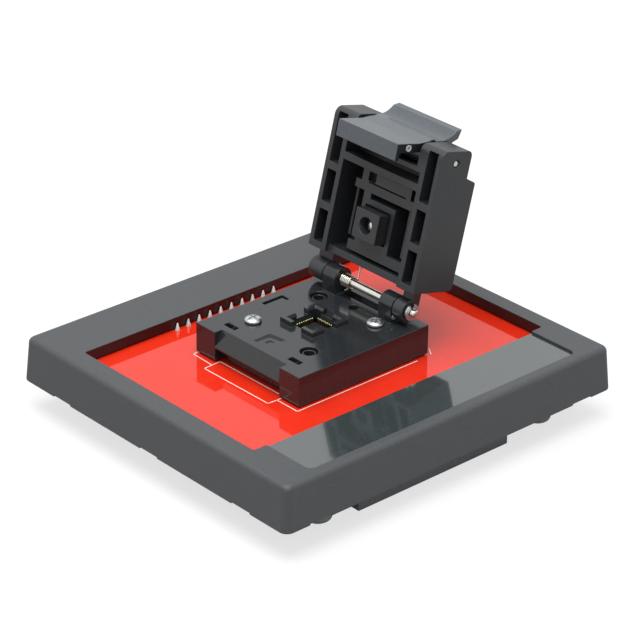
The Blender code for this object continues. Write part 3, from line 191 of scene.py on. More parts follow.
def rounded(outline, radii, steps=8):
    """Outline with an arc at each corner that has a radius."""
    points = []
    for i, (corner, radius) in enumerate(zip(outline, radii)):
        if radius <= 0:
            points.append(corner)
            continue
        here = Vector(corner)
        back = (Vector(outline[i - 1]) - here).normalized()
        ahead = (Vector(outline[(i + 1) % len(outline)]) - here).normalized()
        half = back.angle(ahead) / 2
        middle = here + (back + ahead).normalized() * (radius / math.sin(half))
        first = here + back * (radius / math.tan(half)) - middle
        last = here + ahead * (radius / math.tan(half)) - middle
        sweep = first.angle_signed(last)
        for k in range(steps + 1):
            points.append(tuple(middle + Matrix.Rotation(-sweep * k / steps, 2) @ first))
    return points


def solid(bm):
    """Object in metres from a bmesh in millimetres, faces pointing out."""
    bmesh.ops.recalc_face_normals(bm, faces=bm.faces)
    bmesh.ops.scale(bm, vec=(0.001, 0.001, 0.001), verts=bm.verts)
    mesh = bpy.data.meshes.new("shape")
    bm.to_mesh(mesh)
    bm.free()
    shape = bpy.data.objects.new("shape", mesh)
    bpy.context.scene.collection.objects.link(shape)
    return shape


def lofted(sections, axis="Z"):
    """Closed solid through (outline, height) pairs; Y outlines hold x and z, X hold y and z."""
    lift = {"X": lambda a, b, h: (h, a, b), "Y": lambda a, b, h: (a, h, b), "Z": lambda a, b, h: (a, b, h)}
    bm = bmesh.new()
    rings = [[bm.verts.new(lift[axis](a, b, h)) for a, b in outline] for outline, h in sections]
    for low, high in zip(rings, rings[1:]):
        for i in range(len(low)):
            j = (i + 1) % len(low)
            bm.faces.new((low[i], low[j], high[j], high[i]))
    bm.faces.new(rings[0][::-1])
    bm.faces.new(rings[-1])
    return solid(bm)


def prism(outline, start, end, axis="Z"):
    """Outline drawn out along an axis."""
    return lofted([(outline, start), (outline, end)], axis)


def box(x0, x1, y0, y1, z0, z1):
    """Rectangular solid."""
    return prism(rectangle(x0, x1, y0, y1), z0, z1)


def together(shapes):
    """One object from several shapes."""
    bm = bmesh.new()
    for shape in shapes:
        bm.from_mesh(shape.data)
        bpy.data.objects.remove(shape, do_unlink=True)
    bmesh.ops.scale(bm, vec=(1000, 1000, 1000), verts=bm.verts)
    return solid(bm)


def modified(shape):
    """Shape with its modifiers worked into its mesh."""
    graph = bpy.context.evaluated_depsgraph_get()
    mesh = bpy.data.meshes.new_from_object(shape.evaluated_get(graph))
    shape.modifiers.clear()
    shape.data = mesh
    return shape


def changed(target, tools, operation):
    """Target after a Boolean with each tool; the tools are used up."""
    for tool in tools:
        modifier = target.modifiers.new("change", "BOOLEAN")
        modifier.operation = operation
        modifier.object = tool
    modified(target)
    for tool in tools:
        bpy.data.objects.remove(tool, do_unlink=True)
    return target


def cut(target, *tools):
    """Target less the tools."""
    return changed(target, tools, "DIFFERENCE")


def eased(shape, width, segments=3, angle=32):
    """Shape with its sharp edges rounded, as a mould or a tumbler leaves them, and shaded smooth."""
    bm = bmesh.new()
    bm.from_mesh(shape.data)
    bmesh.ops.remove_doubles(bm, verts=bm.verts, dist=WELD / 1000)
    bmesh.ops.dissolve_limit(bm, angle_limit=math.radians(1), verts=bm.verts, edges=bm.edges)
    bm.to_mesh(shape.data)
    bm.free()
    if not width:
        shape.data.shade_smooth()
        shape.data.set_sharp_from_angle(angle=math.radians(angle))
        return shape
    modifier = shape.modifiers.new("eased", "BEVEL")
    modifier.width = width / 1000
    modifier.segments = segments
    modifier.limit_method = "ANGLE"
    modifier.angle_limit = math.radians(angle)
    modifier.use_clamp_overlap = False
    modifier.harden_normals = True
    modifier.miter_outer = "MITER_ARC"
    return modified(shape)


def dressed(shape, name, material, body, slot, *replaced):
    """Name, material and body of a finished piece, and the CAD nodes that it stands for; the slot is not
    used.
    """
    shape.name = name
    shape.data.name = name
    shape.data.materials.clear()
    shape.data.materials.append(material)
    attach(shape, body)
    if replaced:
        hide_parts(*replaced)
    return shape


def refinished(piece, material, chosen):
    """Second material on the faces chosen by their centre, in millimetres, and their normal."""
    piece.data.materials.append(material)
    for face in piece.data.polygons:
        if chosen(face.center * 1000, face.normal):
            face.material_index = 1


def linear(hex_colour):
    """Linear colour with alpha from an sRGB hex value."""
    channels = [int(hex_colour[i:i + 2], 16) / 255 for i in (1, 3, 5)]
    return tuple(c / 12.92 if c <= 0.04045 else ((c + 0.055) / 1.055) ** 2.4 for c in channels) + (1.0,)


def surface(name, dark, pale, size, depth=0, rough=None, **sockets):
    """Material whose colour, bump and roughness follow one grain; its size and depth are in millimetres.

    Sockets that are the same all over are set on the Principled shader itself.
    """
    material = bpy.data.materials.new(name)
    material.use_nodes = True
    tree = material.node_tree
    principled = tree.nodes["Principled BSDF"]
    for socket, value in sockets.items():
        principled.inputs[socket.replace("_", " ")].default_value = value
    place = add(tree, "ShaderNodeTexCoord")
    grain = add(tree, "ShaderNodeTexNoise", {"Scale": 1000 / size, "Detail": 4.0, "Roughness": 0.6},
                {"Vector": place.outputs["Object"]})
    spread = add(tree, "ShaderNodeMapRange", {"From Min": 0.25, "From Max": 0.75},
                 {"Value": grain.outputs["Fac"]})
    mix = add(tree, "ShaderNodeMix", {"data_type": "RGBA", 6: linear(dark), 7: linear(pale)},
              {0: spread.outputs["Result"]})
    tree.links.new(mix.outputs[2], principled.inputs["Base Color"])
    if rough:
        level = add(tree, "ShaderNodeMapRange", {"To Min": rough[0], "To Max": rough[1]},
                    {"Value": grain.outputs["Fac"]})
        tree.links.new(level.outputs["Result"], principled.inputs["Roughness"])
    if depth:
        bump = add(tree, "ShaderNodeBump", {"Strength": 1.0, "Distance": depth / 1000},
                   {"Height": grain.outputs["Fac"]})
        tree.links.new(bump.outputs["Normal"], principled.inputs["Normal"])
    return material


def frame_lean(level):
    """How far the skirt leans in at a level."""
    return FRAME_LEAN * (level - FRAME_LOW) / (FRAME_TOP - FRAME_LOW)


def frame_outline(inset, corner):
    """Outline of the frame, pulled in from the skirt's lower edge."""
    x = FRAME_LENGTH / 2 - inset
    y = FRAME_WIDTH / 2 - inset
    return rounded(rectangle(-x, x, -y, y), [corner] * 4)


def skirt_notch(x0, x1, y0, y1):
    """Cutter of one notch in the skirt's lower edge."""
    return box(x0, x1, y0, y1, FRAME_LOW - OVERRUN, FRAME_LOW + NOTCH_DEPTH)


# Spark-eroded ABS: grit of about 0.2 mm, drawn at 0.35 mm so that it shows, breaks up the highlight.
textured_abs = surface("spark_eroded_abs", "#3b3e40", "#4a4d50", 0.35, 0.02, (0.42, 0.62), IOR=1.53)
# Core-polished ABS: the window's walls slid off a smooth steel core, so they stay sleeker. Their colour is
# a darker copy of the frame's, painted shade for the shade inside the window's recess.
shade_painted_wall_abs = surface("core_polished_abs_painted_shade", "#151617", "#1d1e1f", 0.6, Roughness=0.3, IOR=1.5)

sections = [(frame_outline(FRAME_FOOT_EDGE, FRAME_CORNER), FRAME_LOW),
            (frame_outline(0, FRAME_CORNER), FRAME_LOW + FRAME_FOOT_EDGE)]
for angle in range(0, 91, 15):
    level = FRAME_TOP - FRAME_EDGE * (1 - math.sin(math.radians(angle)))
    inset = frame_lean(level) + FRAME_EDGE * (1 - math.cos(math.radians(angle)))
    sections.append((frame_outline(inset, FRAME_CORNER - inset / 2), level))
housing = lofted(sections)
hollow = lofted([(frame_outline(FRAME_WALL + frame_lean(level), HOLLOW_CORNER), level)
                 for level in (FRAME_LOW - OVERRUN, PLATE_LOW)])
window = prism(rounded(rectangle(*WINDOW), [WINDOW_CORNER] * 4), PLATE_LOW - OVERRUN, FRAME_TOP + OVERRUN)
left, right, front, rear = LABEL_RECESS
recess = prism(rounded(rectangle(left, right, front, rear + OVERRUN), [LABEL_CORNER, LABEL_CORNER, 0, 0]),
               FRAME_TOP - LABEL_RECESS_DEPTH, FRAME_TOP + OVERRUN)
side_notches = together([skirt_notch(-FRAME_LENGTH, FRAME_LENGTH, y - NOTCH_WIDTH / 2, y + NOTCH_WIDTH / 2)
                         for y in SIDE_NOTCHES])
end_notches = together([skirt_notch(x - NOTCH_WIDTH / 2, x + NOTCH_WIDTH / 2, -FRAME_WIDTH, FRAME_WIDTH)
                        for x in END_NOTCHES])
housing = cut(housing, hollow, window, recess, side_notches, end_notches)
dressed(eased(housing, 0.12), "frame_moulding", textured_abs, "base", "frame_plastic", "housing_frame")


def window_wall(centre, normal):
    """Whether a face of the frame is one of the window's upright walls."""
    x, y, z = centre
    left, right, front, rear = WINDOW
    inside = left - TOUCHING < x < right + TOUCHING and front - TOUCHING < y < rear + TOUCHING
    return inside and abs(normal.z) < STANDING and z > PLATE_LOW - TOUCHING


# The window's upright walls take the darker copy: painted shade inside the window.
refinished(housing, shade_painted_wall_abs, window_wall)

# Label strip
# Glossy polyester film, printed black on its back and stuck into the recess along the front edge.
# It mirrors the open lid that stands behind it.
FILM_FIT = 0.1
FILM_THICKNESS = 0.15

# Gloss polyester film over black print: near-black and mirror-like, faintly pebbled by the plastic below.
label_film = surface("gloss_polyester_film", "#303737", "#3e4647", 0.45, 0.0004, (0.06, 0.14),
                     IOR=1.55, Coat_Weight=1.0, Coat_Roughness=0.04, Coat_IOR=1.5)
film_low = FRAME_TOP - LABEL_RECESS_DEPTH + FILM_FIT
film = prism(rounded(rectangle(left + FILM_FIT, right - FILM_FIT, front + FILM_FIT, rear),
                     [LABEL_CORNER, LABEL_CORNER, 0, 0]), film_low, film_low + FILM_THICKNESS)
dressed(eased(film, 0.04, 2), "label_film", label_film, "base", "label_film", "label_strip")

# Adapter board
# Glass-epoxy laminate under red solder mask, held up against the frame's plate from below.
# The mask is glossy, so the board mirrors what stands on it.
BOARD_LOW = 10.24
BOARD_TOP = 11.84
BOARD_GAP = 0.3

# Solder mask: saturated red ink over copper, smooth enough to mirror the socket and the tent.
solder_mask = surface("glossy_red_solder_mask", "#dc2a14", "#e4321a", 6.0, Roughness=0.06, IOR=1.47)
board_inset = FRAME_WALL + frame_lean(PLATE_LOW) + BOARD_GAP
board = prism(frame_outline(board_inset, HOLLOW_CORNER), BOARD_LOW, BOARD_TOP)
dressed(eased(board, 0.05, 2), "board_laminate", solder_mask, "base", "solder_mask", "circuit_board")

# Printed outline
# White epoxy ink round the socket's place, silk-screened on the solder mask in thin straight lines.
# It steps out beside the base's latch ramp.
INK_WIDTH = 0.18
INK_THICKNESS = 0.02
INK_LINES = [
    [(-15.9, 14.2), (-16.87, 14.09), (-17.06, 9.04)],
    [(-15.9, -8.36), (-18.77, -8.26), (-18.88, 8.64), (-15.13, 8.84), (-15.1, -6.92)],
    [(-16.81, -8.36), (-16.81, -13.66), (11.36, -13.65)],
    [(16.14, -11.74), (15.08, -13.35)],
]


def stroke(start, end):
    """One straight line of ink, whose ends reach half a line's width past its points."""
    start, end = Vector(start), Vector(end)
    ahead = (end - start).normalized() * INK_WIDTH / 2
    side = Vector((-ahead.y, ahead.x))
    corners = [start - ahead - side, end + ahead - side, end + ahead + side, start - ahead + side]
    return prism([tuple(corner) for corner in corners], BOARD_TOP, BOARD_TOP + INK_THICKNESS)


# Epoxy ink: chalky white with a trace of the red below.
screen_ink = surface("white_epoxy_ink", "#f3d9d4", "#fbf1ee", 0.4, Roughness=0.45, IOR=1.5)
strokes = [stroke(start, end) for line in INK_LINES for start, end in zip(line, line[1:])]
dressed(eased(together(strokes), 0), "outline_print", screen_ink, "base", "solder_mask")

# Headers
# Glass-filled PBT bodies under the board, two rows in front and one at the rear, which plug onto the
# programmer's pins. Each rear contact's pin comes up through the board to a solder joint.
PITCH = 2.54
HEADER_TOP = 9.94
FRONT_HEADER = (-17.73, 17.73, -30.41, -25.41)
FRONT_ROWS, FRONT_COLUMNS = 2, 14
REAR_HEADER = (-14.44, 10.86, 21.74, 24.24)
REAR_ROWS, REAR_COLUMNS = 1, 10
# Half widths and heights of a contact cavity: its mouth, the end of its lead-in, and its roof.
CAVITY = [(0.8, -0.2), (0.45, 0.4), (0.45, 4.5)]
# Radii and heights of a solder joint above the board: the wetted foot, the cone and the pin's tip.
JOINT_FOOT = [(0.5, 0), (0.52, 0.05)]
CONE_LOW = (0.46, 0.1)
CONE_HIGH = (0.12, 1.43)
CONE_RINGS = 10
JOINT_TIP = (0.05, 1.49)


def arc(centre, radius, start, end, steps):
    """Points on a circle between two angles in degrees."""
    angles = [math.radians(start + (end - start) * i / steps) for i in range(steps + 1)]
    return [(centre[0] + radius * math.cos(a), centre[1] + radius * math.sin(a)) for a in angles]


def circle(centre, radius, count=40):
    """Outline of a round hole or shaft."""
    return arc(centre, radius, 0, 360 - 360 / count, count - 1)


def square(centre, half):
    """Outline of a square from its centre and half its side."""
    x, y = centre
    return rectangle(x - half, x + half, y - half, y + half)


def turned(centre, profile, count=40, axis="Z"):
    """Round solid through (radius, height) pairs."""
    return lofted([(circle(centre, radius, count), height) for radius, height in profile], axis)


def raised(profile, level):
    """Profile whose heights count from a level."""
    return [(radius, level + height) for radius, height in profile]


def contact_places(limits, rows, columns):
    """Centres of a header's contacts, set out about its middle."""
    x0, x1, y0, y1 = limits
    first_x = (x0 + x1) / 2 - (columns - 1) / 2 * PITCH
    first_y = (y0 + y1) / 2 - (rows - 1) / 2 * PITCH
    return [(first_x + column * PITCH, first_y + row * PITCH)
            for row in range(rows) for column in range(columns)]


def header_body(limits, places):
    """Header moulding with a cavity at each contact."""
    body = box(*limits, 0, HEADER_TOP)
    cavities = [lofted([(square(place, half), height) for half, height in CAVITY]) for place in places]
    return eased(cut(body, together(cavities)), 0.1, 2)


# PBT: flat dark grey, slightly mottled by its glass filling, but painted far paler than the frame: painted
# light for the table's glow in the shade under the skirt, so that it shows close to the frame's own tone.
pbt_painted_light = surface("moulded_pbt_painted_light", "#767a7d", "#868a8d", 0.6, 0.01, (0.4, 0.6), IOR=1.53)
# Tin-lead solder: whitish and slightly wrinkled where it froze round the pin.
solder = surface("reflowed_solder", "#bdb9b7", "#ece9e7", 0.5, 0.02, (0.4, 0.6), Metallic=0.3)

front_places = contact_places(FRONT_HEADER, FRONT_ROWS, FRONT_COLUMNS)
rear_places = contact_places(REAR_HEADER, REAR_ROWS, REAR_COLUMNS)
# Both header bodies carry that painted light, paler than their own dark grey.
dressed(header_body(FRONT_HEADER, front_places), "front_header_body", pbt_painted_light, "base", "header_plastic",
        "front_header")
dressed(header_body(REAR_HEADER, rear_places), "rear_header_body", pbt_painted_light, "base", "header_plastic",
        "rear_header")
cone = [(CONE_LOW[0] + (CONE_HIGH[0] - CONE_LOW[0]) * k / CONE_RINGS,
         CONE_LOW[1] + (CONE_HIGH[1] - CONE_LOW[1]) * k / CONE_RINGS) for k in range(1, CONE_RINGS + 1)]
joint = raised(JOINT_FOOT + cone + [JOINT_TIP], BOARD_TOP)
joints = [turned(place, joint, 20) for place in rear_places]
dressed(eased(together(joints), 0, angle=50), "solder_joints", solder, "base", "header_plastic")

# Guide posts
# Moulded nylon posts that find the programmer's holes and keep the module square on its pins.
# A stud on each goes up through the board, where the frame's plate hides it.
POSTS = {"front_left": (-26.1, -29.35), "front_right": (26.1, -29.35),
         "rear_left": (-26.1, 29.35), "rear_right": (26.1, 29.35)}
POST_RADIUS = 2.5
POST_EDGE = 0.9
POST_FACE = 0.2
POST_LOW = 1.49

# Nylon: waxy dark grey with a soft sheen.
dark_nylon = surface("moulded_dark_nylon", "#7a7e81", "#8a8e91", 0.8, 0.01, (0.35, 0.5), IOR=1.53)
post = [(POST_FACE, POST_LOW)]
for angle in range(0, 91, 15):
    post.append((POST_RADIUS - POST_EDGE * (1 - math.sin(math.radians(angle))),
                 POST_LOW + POST_EDGE * (1 - math.cos(math.radians(angle)))))
post.append((POST_RADIUS, HEADER_TOP))
for corner, place in POSTS.items():
    dressed(eased(turned(place, post, 48), 0), "post_" + corner, dark_nylon, "base", "post_plastic",
            "guide_post_" + corner)

# Socket base
# Black glass-filled PES, polished in the mould so that its top mirrors the lid and the tent, and held by
# two screws. Ears carry the hinge pin, a ramp and ledge take the latch, and guides hold the package.
BASE = (-16.05, 14.47, -13.16, 14.30)
BASE_LOW = 12.14
BASE_TOP = 17.79
BASE_Y = 0.57
PACKAGE_X = -0.37
HINGE = (11.70, 20.54)
EAR_RADIUS = 2.1
EAR_INSIDE = 5.75
EAR_OUTSIDE = 9.05
PIN_BORE = 0.83
TROUGH_HALF = (1.4, 5.45)
TROUGH_DEPTH = 0.7
NEST_HALF = 3.1
NEST_LEAD = 0.35
NEST_ROOF = 1.35
CONTACT_ROOM = 5.6
GUIDE_OUT = 4.3
GUIDE_LENGTH = 3.0
GUIDE_TOP = 18.84
HOOK_HALF = 8.6
RAMP_DEPTH = 1.75
RAMP_FOOT = 2.75
LEDGE_EDGE = 2.45
LEDGE_ROOT = 2.25
HOOK_RECESS = 1.85
SCREWS = {"left": (-8.17, 8.02), "right": (7.43, -6.88)}
SCREW_BORE = 0.9
TOOL_HOLES = [(-8.17, -6.88), (7.43, 8.02)]
# Radii and levels from the base's top: tool hole, pilot hole, and the sleeve that stands in a tool hole.
TOOL_HOLE = [(1.0, -2.4), (1.0, -1.1), (1.65, -1.1), (1.65, OVERRUN)]
PILOT_X = 9.37
PILOT_HOLE = [(1.0, -2.4), (1.0, OVERRUN)]
SLEEVE = [(1.3, -1.3), (1.3, -0.45), (1.2, -0.35)]
SLEEVE_BORE = [(0.95, -1.5), (0.95, 0)]
SLOT_X = 11.93
SLOT_Y = 8.5
SLOT_HALF = (0.575, 1.425)
SLOT_DEPTH = 1.4
WEB_HALF = 0.15
WEB_LEVELS = (-1.45, -0.5)
CORNER_MARK = [(-2.3, 11.67), (1.83, 11.67), (1.93, 10.47), (2.53, 10.47), (2.63, 12.47), (-2.3, 12.47)]
CORNER_MARK_DEPTH = 0.6
CHEVRON = [(-12.8, 1.75), (-9.95, 1.5), (-9.45, -1.0), (-8.6, -1.06), (-9.0, 2.5), (-12.8, 2.4)]
DASH = [(-11.8, 0.1), (-11.05, 0.15), (-10.95, -0.5), (-10.55, -0.5), (-10.6, 0.65), (-11.8, 0.6)]
MARK_DEPTH = 0.15


def joined(target, *tools):
    """Target with the tools, as one solid."""
    return changed(target, tools, "UNION")


def recoated(node, material):
    """New material on a CAD node that keeps its shape."""
    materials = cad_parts[node].data.materials
    materials.clear()
    materials.append(material)


def slot_box(side, half_y, low, high):
    """Box in one of the two slots, between two depths from the base's top."""
    middle = BASE_Y + side * SLOT_Y
    return box(PACKAGE_X - SLOT_X - SLOT_HALF[0], PACKAGE_X - SLOT_X + SLOT_HALF[0],
               middle - half_y, middle + half_y, BASE_TOP + low, BASE_TOP + high)


def marked(outline, depth):
    """Cutter of a mark sunk in the base's top."""
    return prism(outline, BASE_TOP - depth, BASE_TOP + OVERRUN)


# PES: near-black with a hard gloss; the glass filling shows as faint mottling in the gloss.
polished_pes = surface("mould_polished_pes", "#25282a", "#2b2e30", 0.8, 0, (0.1, 0.15), IOR=1.5)
# Eroded PES: the chevron's floor was spark-eroded into the mould, so it is dull beside the polish round it.
eroded_pes = surface("spark_eroded_pes", "#2e3133", "#393d3f", 0.3, Roughness=0.75, IOR=1.2)

hinge_x, hinge_z = HINGE
base_left = BASE[0]
base = box(*BASE, BASE_LOW, BASE_TOP)
ear = ([(hinge_x + EAR_RADIUS, BASE_TOP - OVERRUN)] + arc(HINGE, EAR_RADIUS, 0, 180, 40)
       + [(hinge_x - EAR_RADIUS, BASE_TOP - OVERRUN)])
ears = together([prism(ear, BASE_Y - EAR_OUTSIDE, BASE_Y - EAR_INSIDE, "Y"),
                 prism(ear, BASE_Y + EAR_INSIDE, BASE_Y + EAR_OUTSIDE, "Y")])
guides = []
guide_tip = GUIDE_OUT - GUIDE_LENGTH
guide_root = NEST_HALF - OVERRUN
guide = [(GUIDE_OUT, guide_tip), (GUIDE_OUT, GUIDE_OUT), (guide_tip, GUIDE_OUT),
         (guide_tip, guide_root), (guide_root, guide_root), (guide_root, guide_tip)]
for side_x in (-1, 1):
    for side_y in (-1, 1):
        outline = [(PACKAGE_X + side_x * x, BASE_Y + side_y * y) for x, y in guide]
        guides.append(prism(outline, BASE_TOP - OVERRUN, GUIDE_TOP))
base = joined(base, ears, together(guides))

package = (PACKAGE_X, BASE_Y)
nest_wide = NEST_HALF + NEST_LEAD
nest = lofted([(square(package, NEST_HALF), BASE_LOW - OVERRUN),
               (square(package, NEST_HALF), GUIDE_TOP - NEST_LEAD),
               (square(package, nest_wide), GUIDE_TOP),
               (square(package, nest_wide), GUIDE_TOP + OVERRUN)])
contact_room = prism(square(package, CONTACT_ROOM), BASE_LOW - OVERRUN, BASE_TOP - NEST_ROOF)
hook_width = (BASE_Y - HOOK_HALF, BASE_Y + HOOK_HALF)
ramp_cut = prism([(base_left - OVERRUN, BASE_TOP + OVERRUN), (base_left + RAMP_DEPTH, BASE_TOP + OVERRUN),
                  (base_left + RAMP_DEPTH, BASE_TOP), (base_left, BASE_LOW + RAMP_FOOT),
                  (base_left - OVERRUN, BASE_LOW + RAMP_FOOT)], *hook_width, "Y")
hook_room = prism([(base_left - OVERRUN, BASE_LOW + LEDGE_EDGE), (base_left, BASE_LOW + LEDGE_EDGE),
                   (base_left + HOOK_RECESS, BASE_LOW + LEDGE_ROOT),
                   (base_left + HOOK_RECESS, BASE_LOW - OVERRUN),
                   (base_left - OVERRUN, BASE_LOW - OVERRUN)], *hook_width, "Y")
hinge_bore = prism(circle(HINGE, PIN_BORE), -FRAME_WIDTH / 2, FRAME_WIDTH / 2, "Y")
screw_bores = together([turned(place, [(SCREW_BORE, BASE_LOW - OVERRUN), (SCREW_BORE, BASE_TOP + OVERRUN)])
                        for place in SCREWS.values()])
tool_holes = together([turned(place, raised(TOOL_HOLE, BASE_TOP)) for place in TOOL_HOLES]
                      + [turned((PACKAGE_X + PILOT_X, BASE_Y), raised(PILOT_HOLE, BASE_TOP))])
slots = together([slot_box(side, SLOT_HALF[1], -SLOT_DEPTH, OVERRUN) for side in (-1, 1)])
trough = box(hinge_x - TROUGH_HALF[0], hinge_x + TROUGH_HALF[0],
             BASE_Y - TROUGH_HALF[1], BASE_Y + TROUGH_HALF[1], BASE_TOP - TROUGH_DEPTH, BASE_TOP + OVERRUN)
base = cut(base, nest, contact_room, ramp_cut, hook_room, hinge_bore, screw_bores, tool_holes, slots, trough,
           marked(CORNER_MARK, CORNER_MARK_DEPTH), marked(CHEVRON, MARK_DEPTH), marked(DASH, MARK_DEPTH))
sleeves = [cut(turned(place, raised(SLEEVE, BASE_TOP)), turned(place, raised(SLEEVE_BORE, BASE_TOP)))
           for place in TOOL_HOLES]
webs = [slot_box(side, WEB_HALF, *WEB_LEVELS) for side in (-1, 1)]
base = joined(base, together(sleeves + webs))
dressed(eased(base, 0.1), "base_moulding", polished_pes, "base", "socket_plastic", "socket_base")


def mark_floor(centre, normal):
    """Whether a face of the base is the floor of the chevron or the dash."""
    return normal.z > FACING and abs(centre.z - BASE_TOP + MARK_DEPTH) < TOUCHING


refinished(base, eroded_pes, mark_floor)
recoated("package_seat", polished_pes)

# Contact rows
# Nine gold-plated beryllium copper fingers on each side, stamped from strip and pressed into the base.
# They bend up under the package's pads, and each ends in a rounded crown.
CONTACT_COUNT = 9
CONTACT_PITCH = 0.5
CROWN_OUT = 2.75
CROWN_LEVEL = 16.99
CROWN = [(0.12, -0.09), (0.12, 0), (0.1, 0.06), (0.06, 0.09), (0.01, 0.1)]
CONTACT_ROWS = {"front": (0, -1), "hinge": (1, 0), "latch": (-1, 0), "rear": (0, 1)}

# Gold plate: pale green-gold metal with a fine rolled grain.
gold_plate = surface("gold_plated_copper", "#c9c266", "#f1ecb0", 0.3, 0, (0.22, 0.38), Metallic=1.0)
# Crown: the rounded tip of each finger is painted pale yellow, a painted highlight for the glint of the
# overhead light on it.
gold_painted_highlight = surface("gold_plate_painted_highlight", "#f4eeb0", "#fffbd8", 0.3, 0, (0.22, 0.38), Metallic=0.6)
crowns = []
for row, (across, along) in CONTACT_ROWS.items():
    recoated("contact_row_" + row, gold_plate)
    for i in range(CONTACT_COUNT):
        step = (i - (CONTACT_COUNT - 1) / 2) * CONTACT_PITCH
        tip = (PACKAGE_X + across * CROWN_OUT + along * step, BASE_Y + along * CROWN_OUT + across * step)
        crowns.append(turned(tip, raised(CROWN, CROWN_LEVEL), 14))
# The crowns carry the painted highlight.
dressed(eased(together(crowns), 0, angle=60), "contact_crowns", gold_painted_highlight, "base", "gold_plated_contact")

# Socket screws and nuts
# Steel screws with domed cross-slotted heads, cold-headed and zinc-plated, pull the base down on the board.
# A nut under the board holds each.
SCREW_SEAT = BASE_TOP + 0.1
SCREW_LOW = 8.24
SHANK_RADIUS = 0.8
HEAD_RADIUS = 1.55
HEAD_RIM = [(1.5, 0), (1.55, 0.08), (1.55, 0.25)]
DOME_LOW = 0.25
DOME_HEIGHT = 0.65
DOME_FLAT = 0.1
CROSS_HALF = (1.1, 0.2)
CROSS_FLOOR = 0.5
CROSS_ROOF = 2

# Zinc plate: bright blue-white metal, a little hazy.
zinc_plate = surface("bright_zinc_plated_steel", "#b4b8ba", "#dcdfe0", 0.5, 0.004, (0.2, 0.4), Metallic=1.0)
dome = [(HEAD_RADIUS * math.cos(math.radians(angle)), DOME_LOW + DOME_HEIGHT * math.sin(math.radians(angle)))
        for angle in range(10, 90, 10)]
screw_profile = [(SHANK_RADIUS, SCREW_LOW), (SHANK_RADIUS, SCREW_SEAT)]
screw_profile += raised(HEAD_RIM + dome + [(DOME_FLAT, DOME_LOW + DOME_HEIGHT)], SCREW_SEAT)
for side, (x, y) in SCREWS.items():
    bars = [box(x - a, x + a, y - b, y + b, SCREW_SEAT + CROSS_FLOOR, SCREW_SEAT + CROSS_ROOF)
            for a, b in (CROSS_HALF, CROSS_HALF[::-1])]
    screw = cut(turned((x, y), screw_profile, 48), joined(*bars))
    dressed(eased(screw, 0.04, 2, 40), "screw_" + side, zinc_plate, "base", "bright_steel",
            "socket_screw_" + side)
    recoated("socket_nut_" + side, zinc_plate)

# Hinge pin, clip and stop pin
# Ground stainless steel shafts through the ears. The hinge pin has a head at the rear and a sprung clip in
# a groove in front, and the stop pin in the front ear ends the lid's swing.
PIN_FRONT = -11.08
PIN_REAR = 13.57
PIN_RADIUS = 0.75
GROOVE_RADIUS = 0.5
CLIP_REAR = PIN_FRONT - 0.3
CLIP_FRONT = CLIP_REAR - 0.4
GROOVE_PLAY = 0.1
# Radii and lengths of the pin's nose, counted from the clip's front, and of its head, from the rear arm.
PIN_NOSE = [(0.45, -0.9), (0.68, -0.82), (0.75, -0.7)]
PIN_HEAD = [(1.05, 0), (1.1, 0.05), (1.1, 0.5), (1.0, 0.6)]
CLIP_RADIUS = 1.55
CLIP_BORE = 0.58
CLIP_MOUTH_HALF = 0.4
STOP_PLACE = (hinge_x - 1.35, hinge_z - 1.76)
STOP_RADIUS = 0.5
STOP_ENDS = (-8.53, -5.78)

# Ground stainless: mirror-bright along the pin, with faint grinding rings round it.
ground_steel = surface("ground_stainless_steel", "#d2d1c8", "#f4f3ea", 0.25, 0, (0.16, 0.3), Metallic=1.0)
groove = (CLIP_FRONT - GROOVE_PLAY, CLIP_REAR + GROOVE_PLAY)
hinge_pin = turned(HINGE, raised(PIN_NOSE, CLIP_FRONT) + [
    (PIN_RADIUS, groove[0]), (GROOVE_RADIUS, groove[0]), (GROOVE_RADIUS, groove[1]), (PIN_RADIUS, groove[1]),
    (PIN_RADIUS, PIN_REAR)] + raised(PIN_HEAD, PIN_REAR), 40, "Y")
dressed(eased(hinge_pin, 0), "hinge_shaft", ground_steel, "base", "bright_steel", "hinge_pin")
clip = prism(circle(HINGE, CLIP_RADIUS, 48), CLIP_FRONT, CLIP_REAR, "Y")
clip = cut(clip, prism(circle(HINGE, CLIP_BORE), CLIP_FRONT - OVERRUN, CLIP_REAR + OVERRUN, "Y"),
           box(hinge_x - CLIP_MOUTH_HALF, hinge_x + CLIP_MOUTH_HALF,
               CLIP_FRONT - OVERRUN, CLIP_REAR + OVERRUN, hinge_z, hinge_z + 2 * CLIP_RADIUS))
dressed(eased(clip, 0.05, 2), "retaining_clip", zinc_plate, "base", "bright_steel", "hinge_clip")
stop = prism(circle(STOP_PLACE, STOP_RADIUS), *STOP_ENDS, "Y")
dressed(eased(stop, 0.06, 2), "stop_dowel", ground_steel, "base", "bright_steel", "stop_pin")

# Torsion spring
# Bright music wire wound round the hinge pin, to throw the lid open.
# One leg stands up under the lid, and the other lies on the base with its end bent up.
OPEN_ANGLE = 104.2
WIRE_RADIUS = 0.16
COIL_RADIUS = 1.05
COIL_REAR = 6.06
COIL_PITCH = 0.4
COIL_TURNS = 6
UPPER_LEG = 3.42
UPPER_LEG_POINTS = 6
FOOT_LEVEL = 18.25
FOOT_REACH = 0.75
FOOT_BEND = 0.3


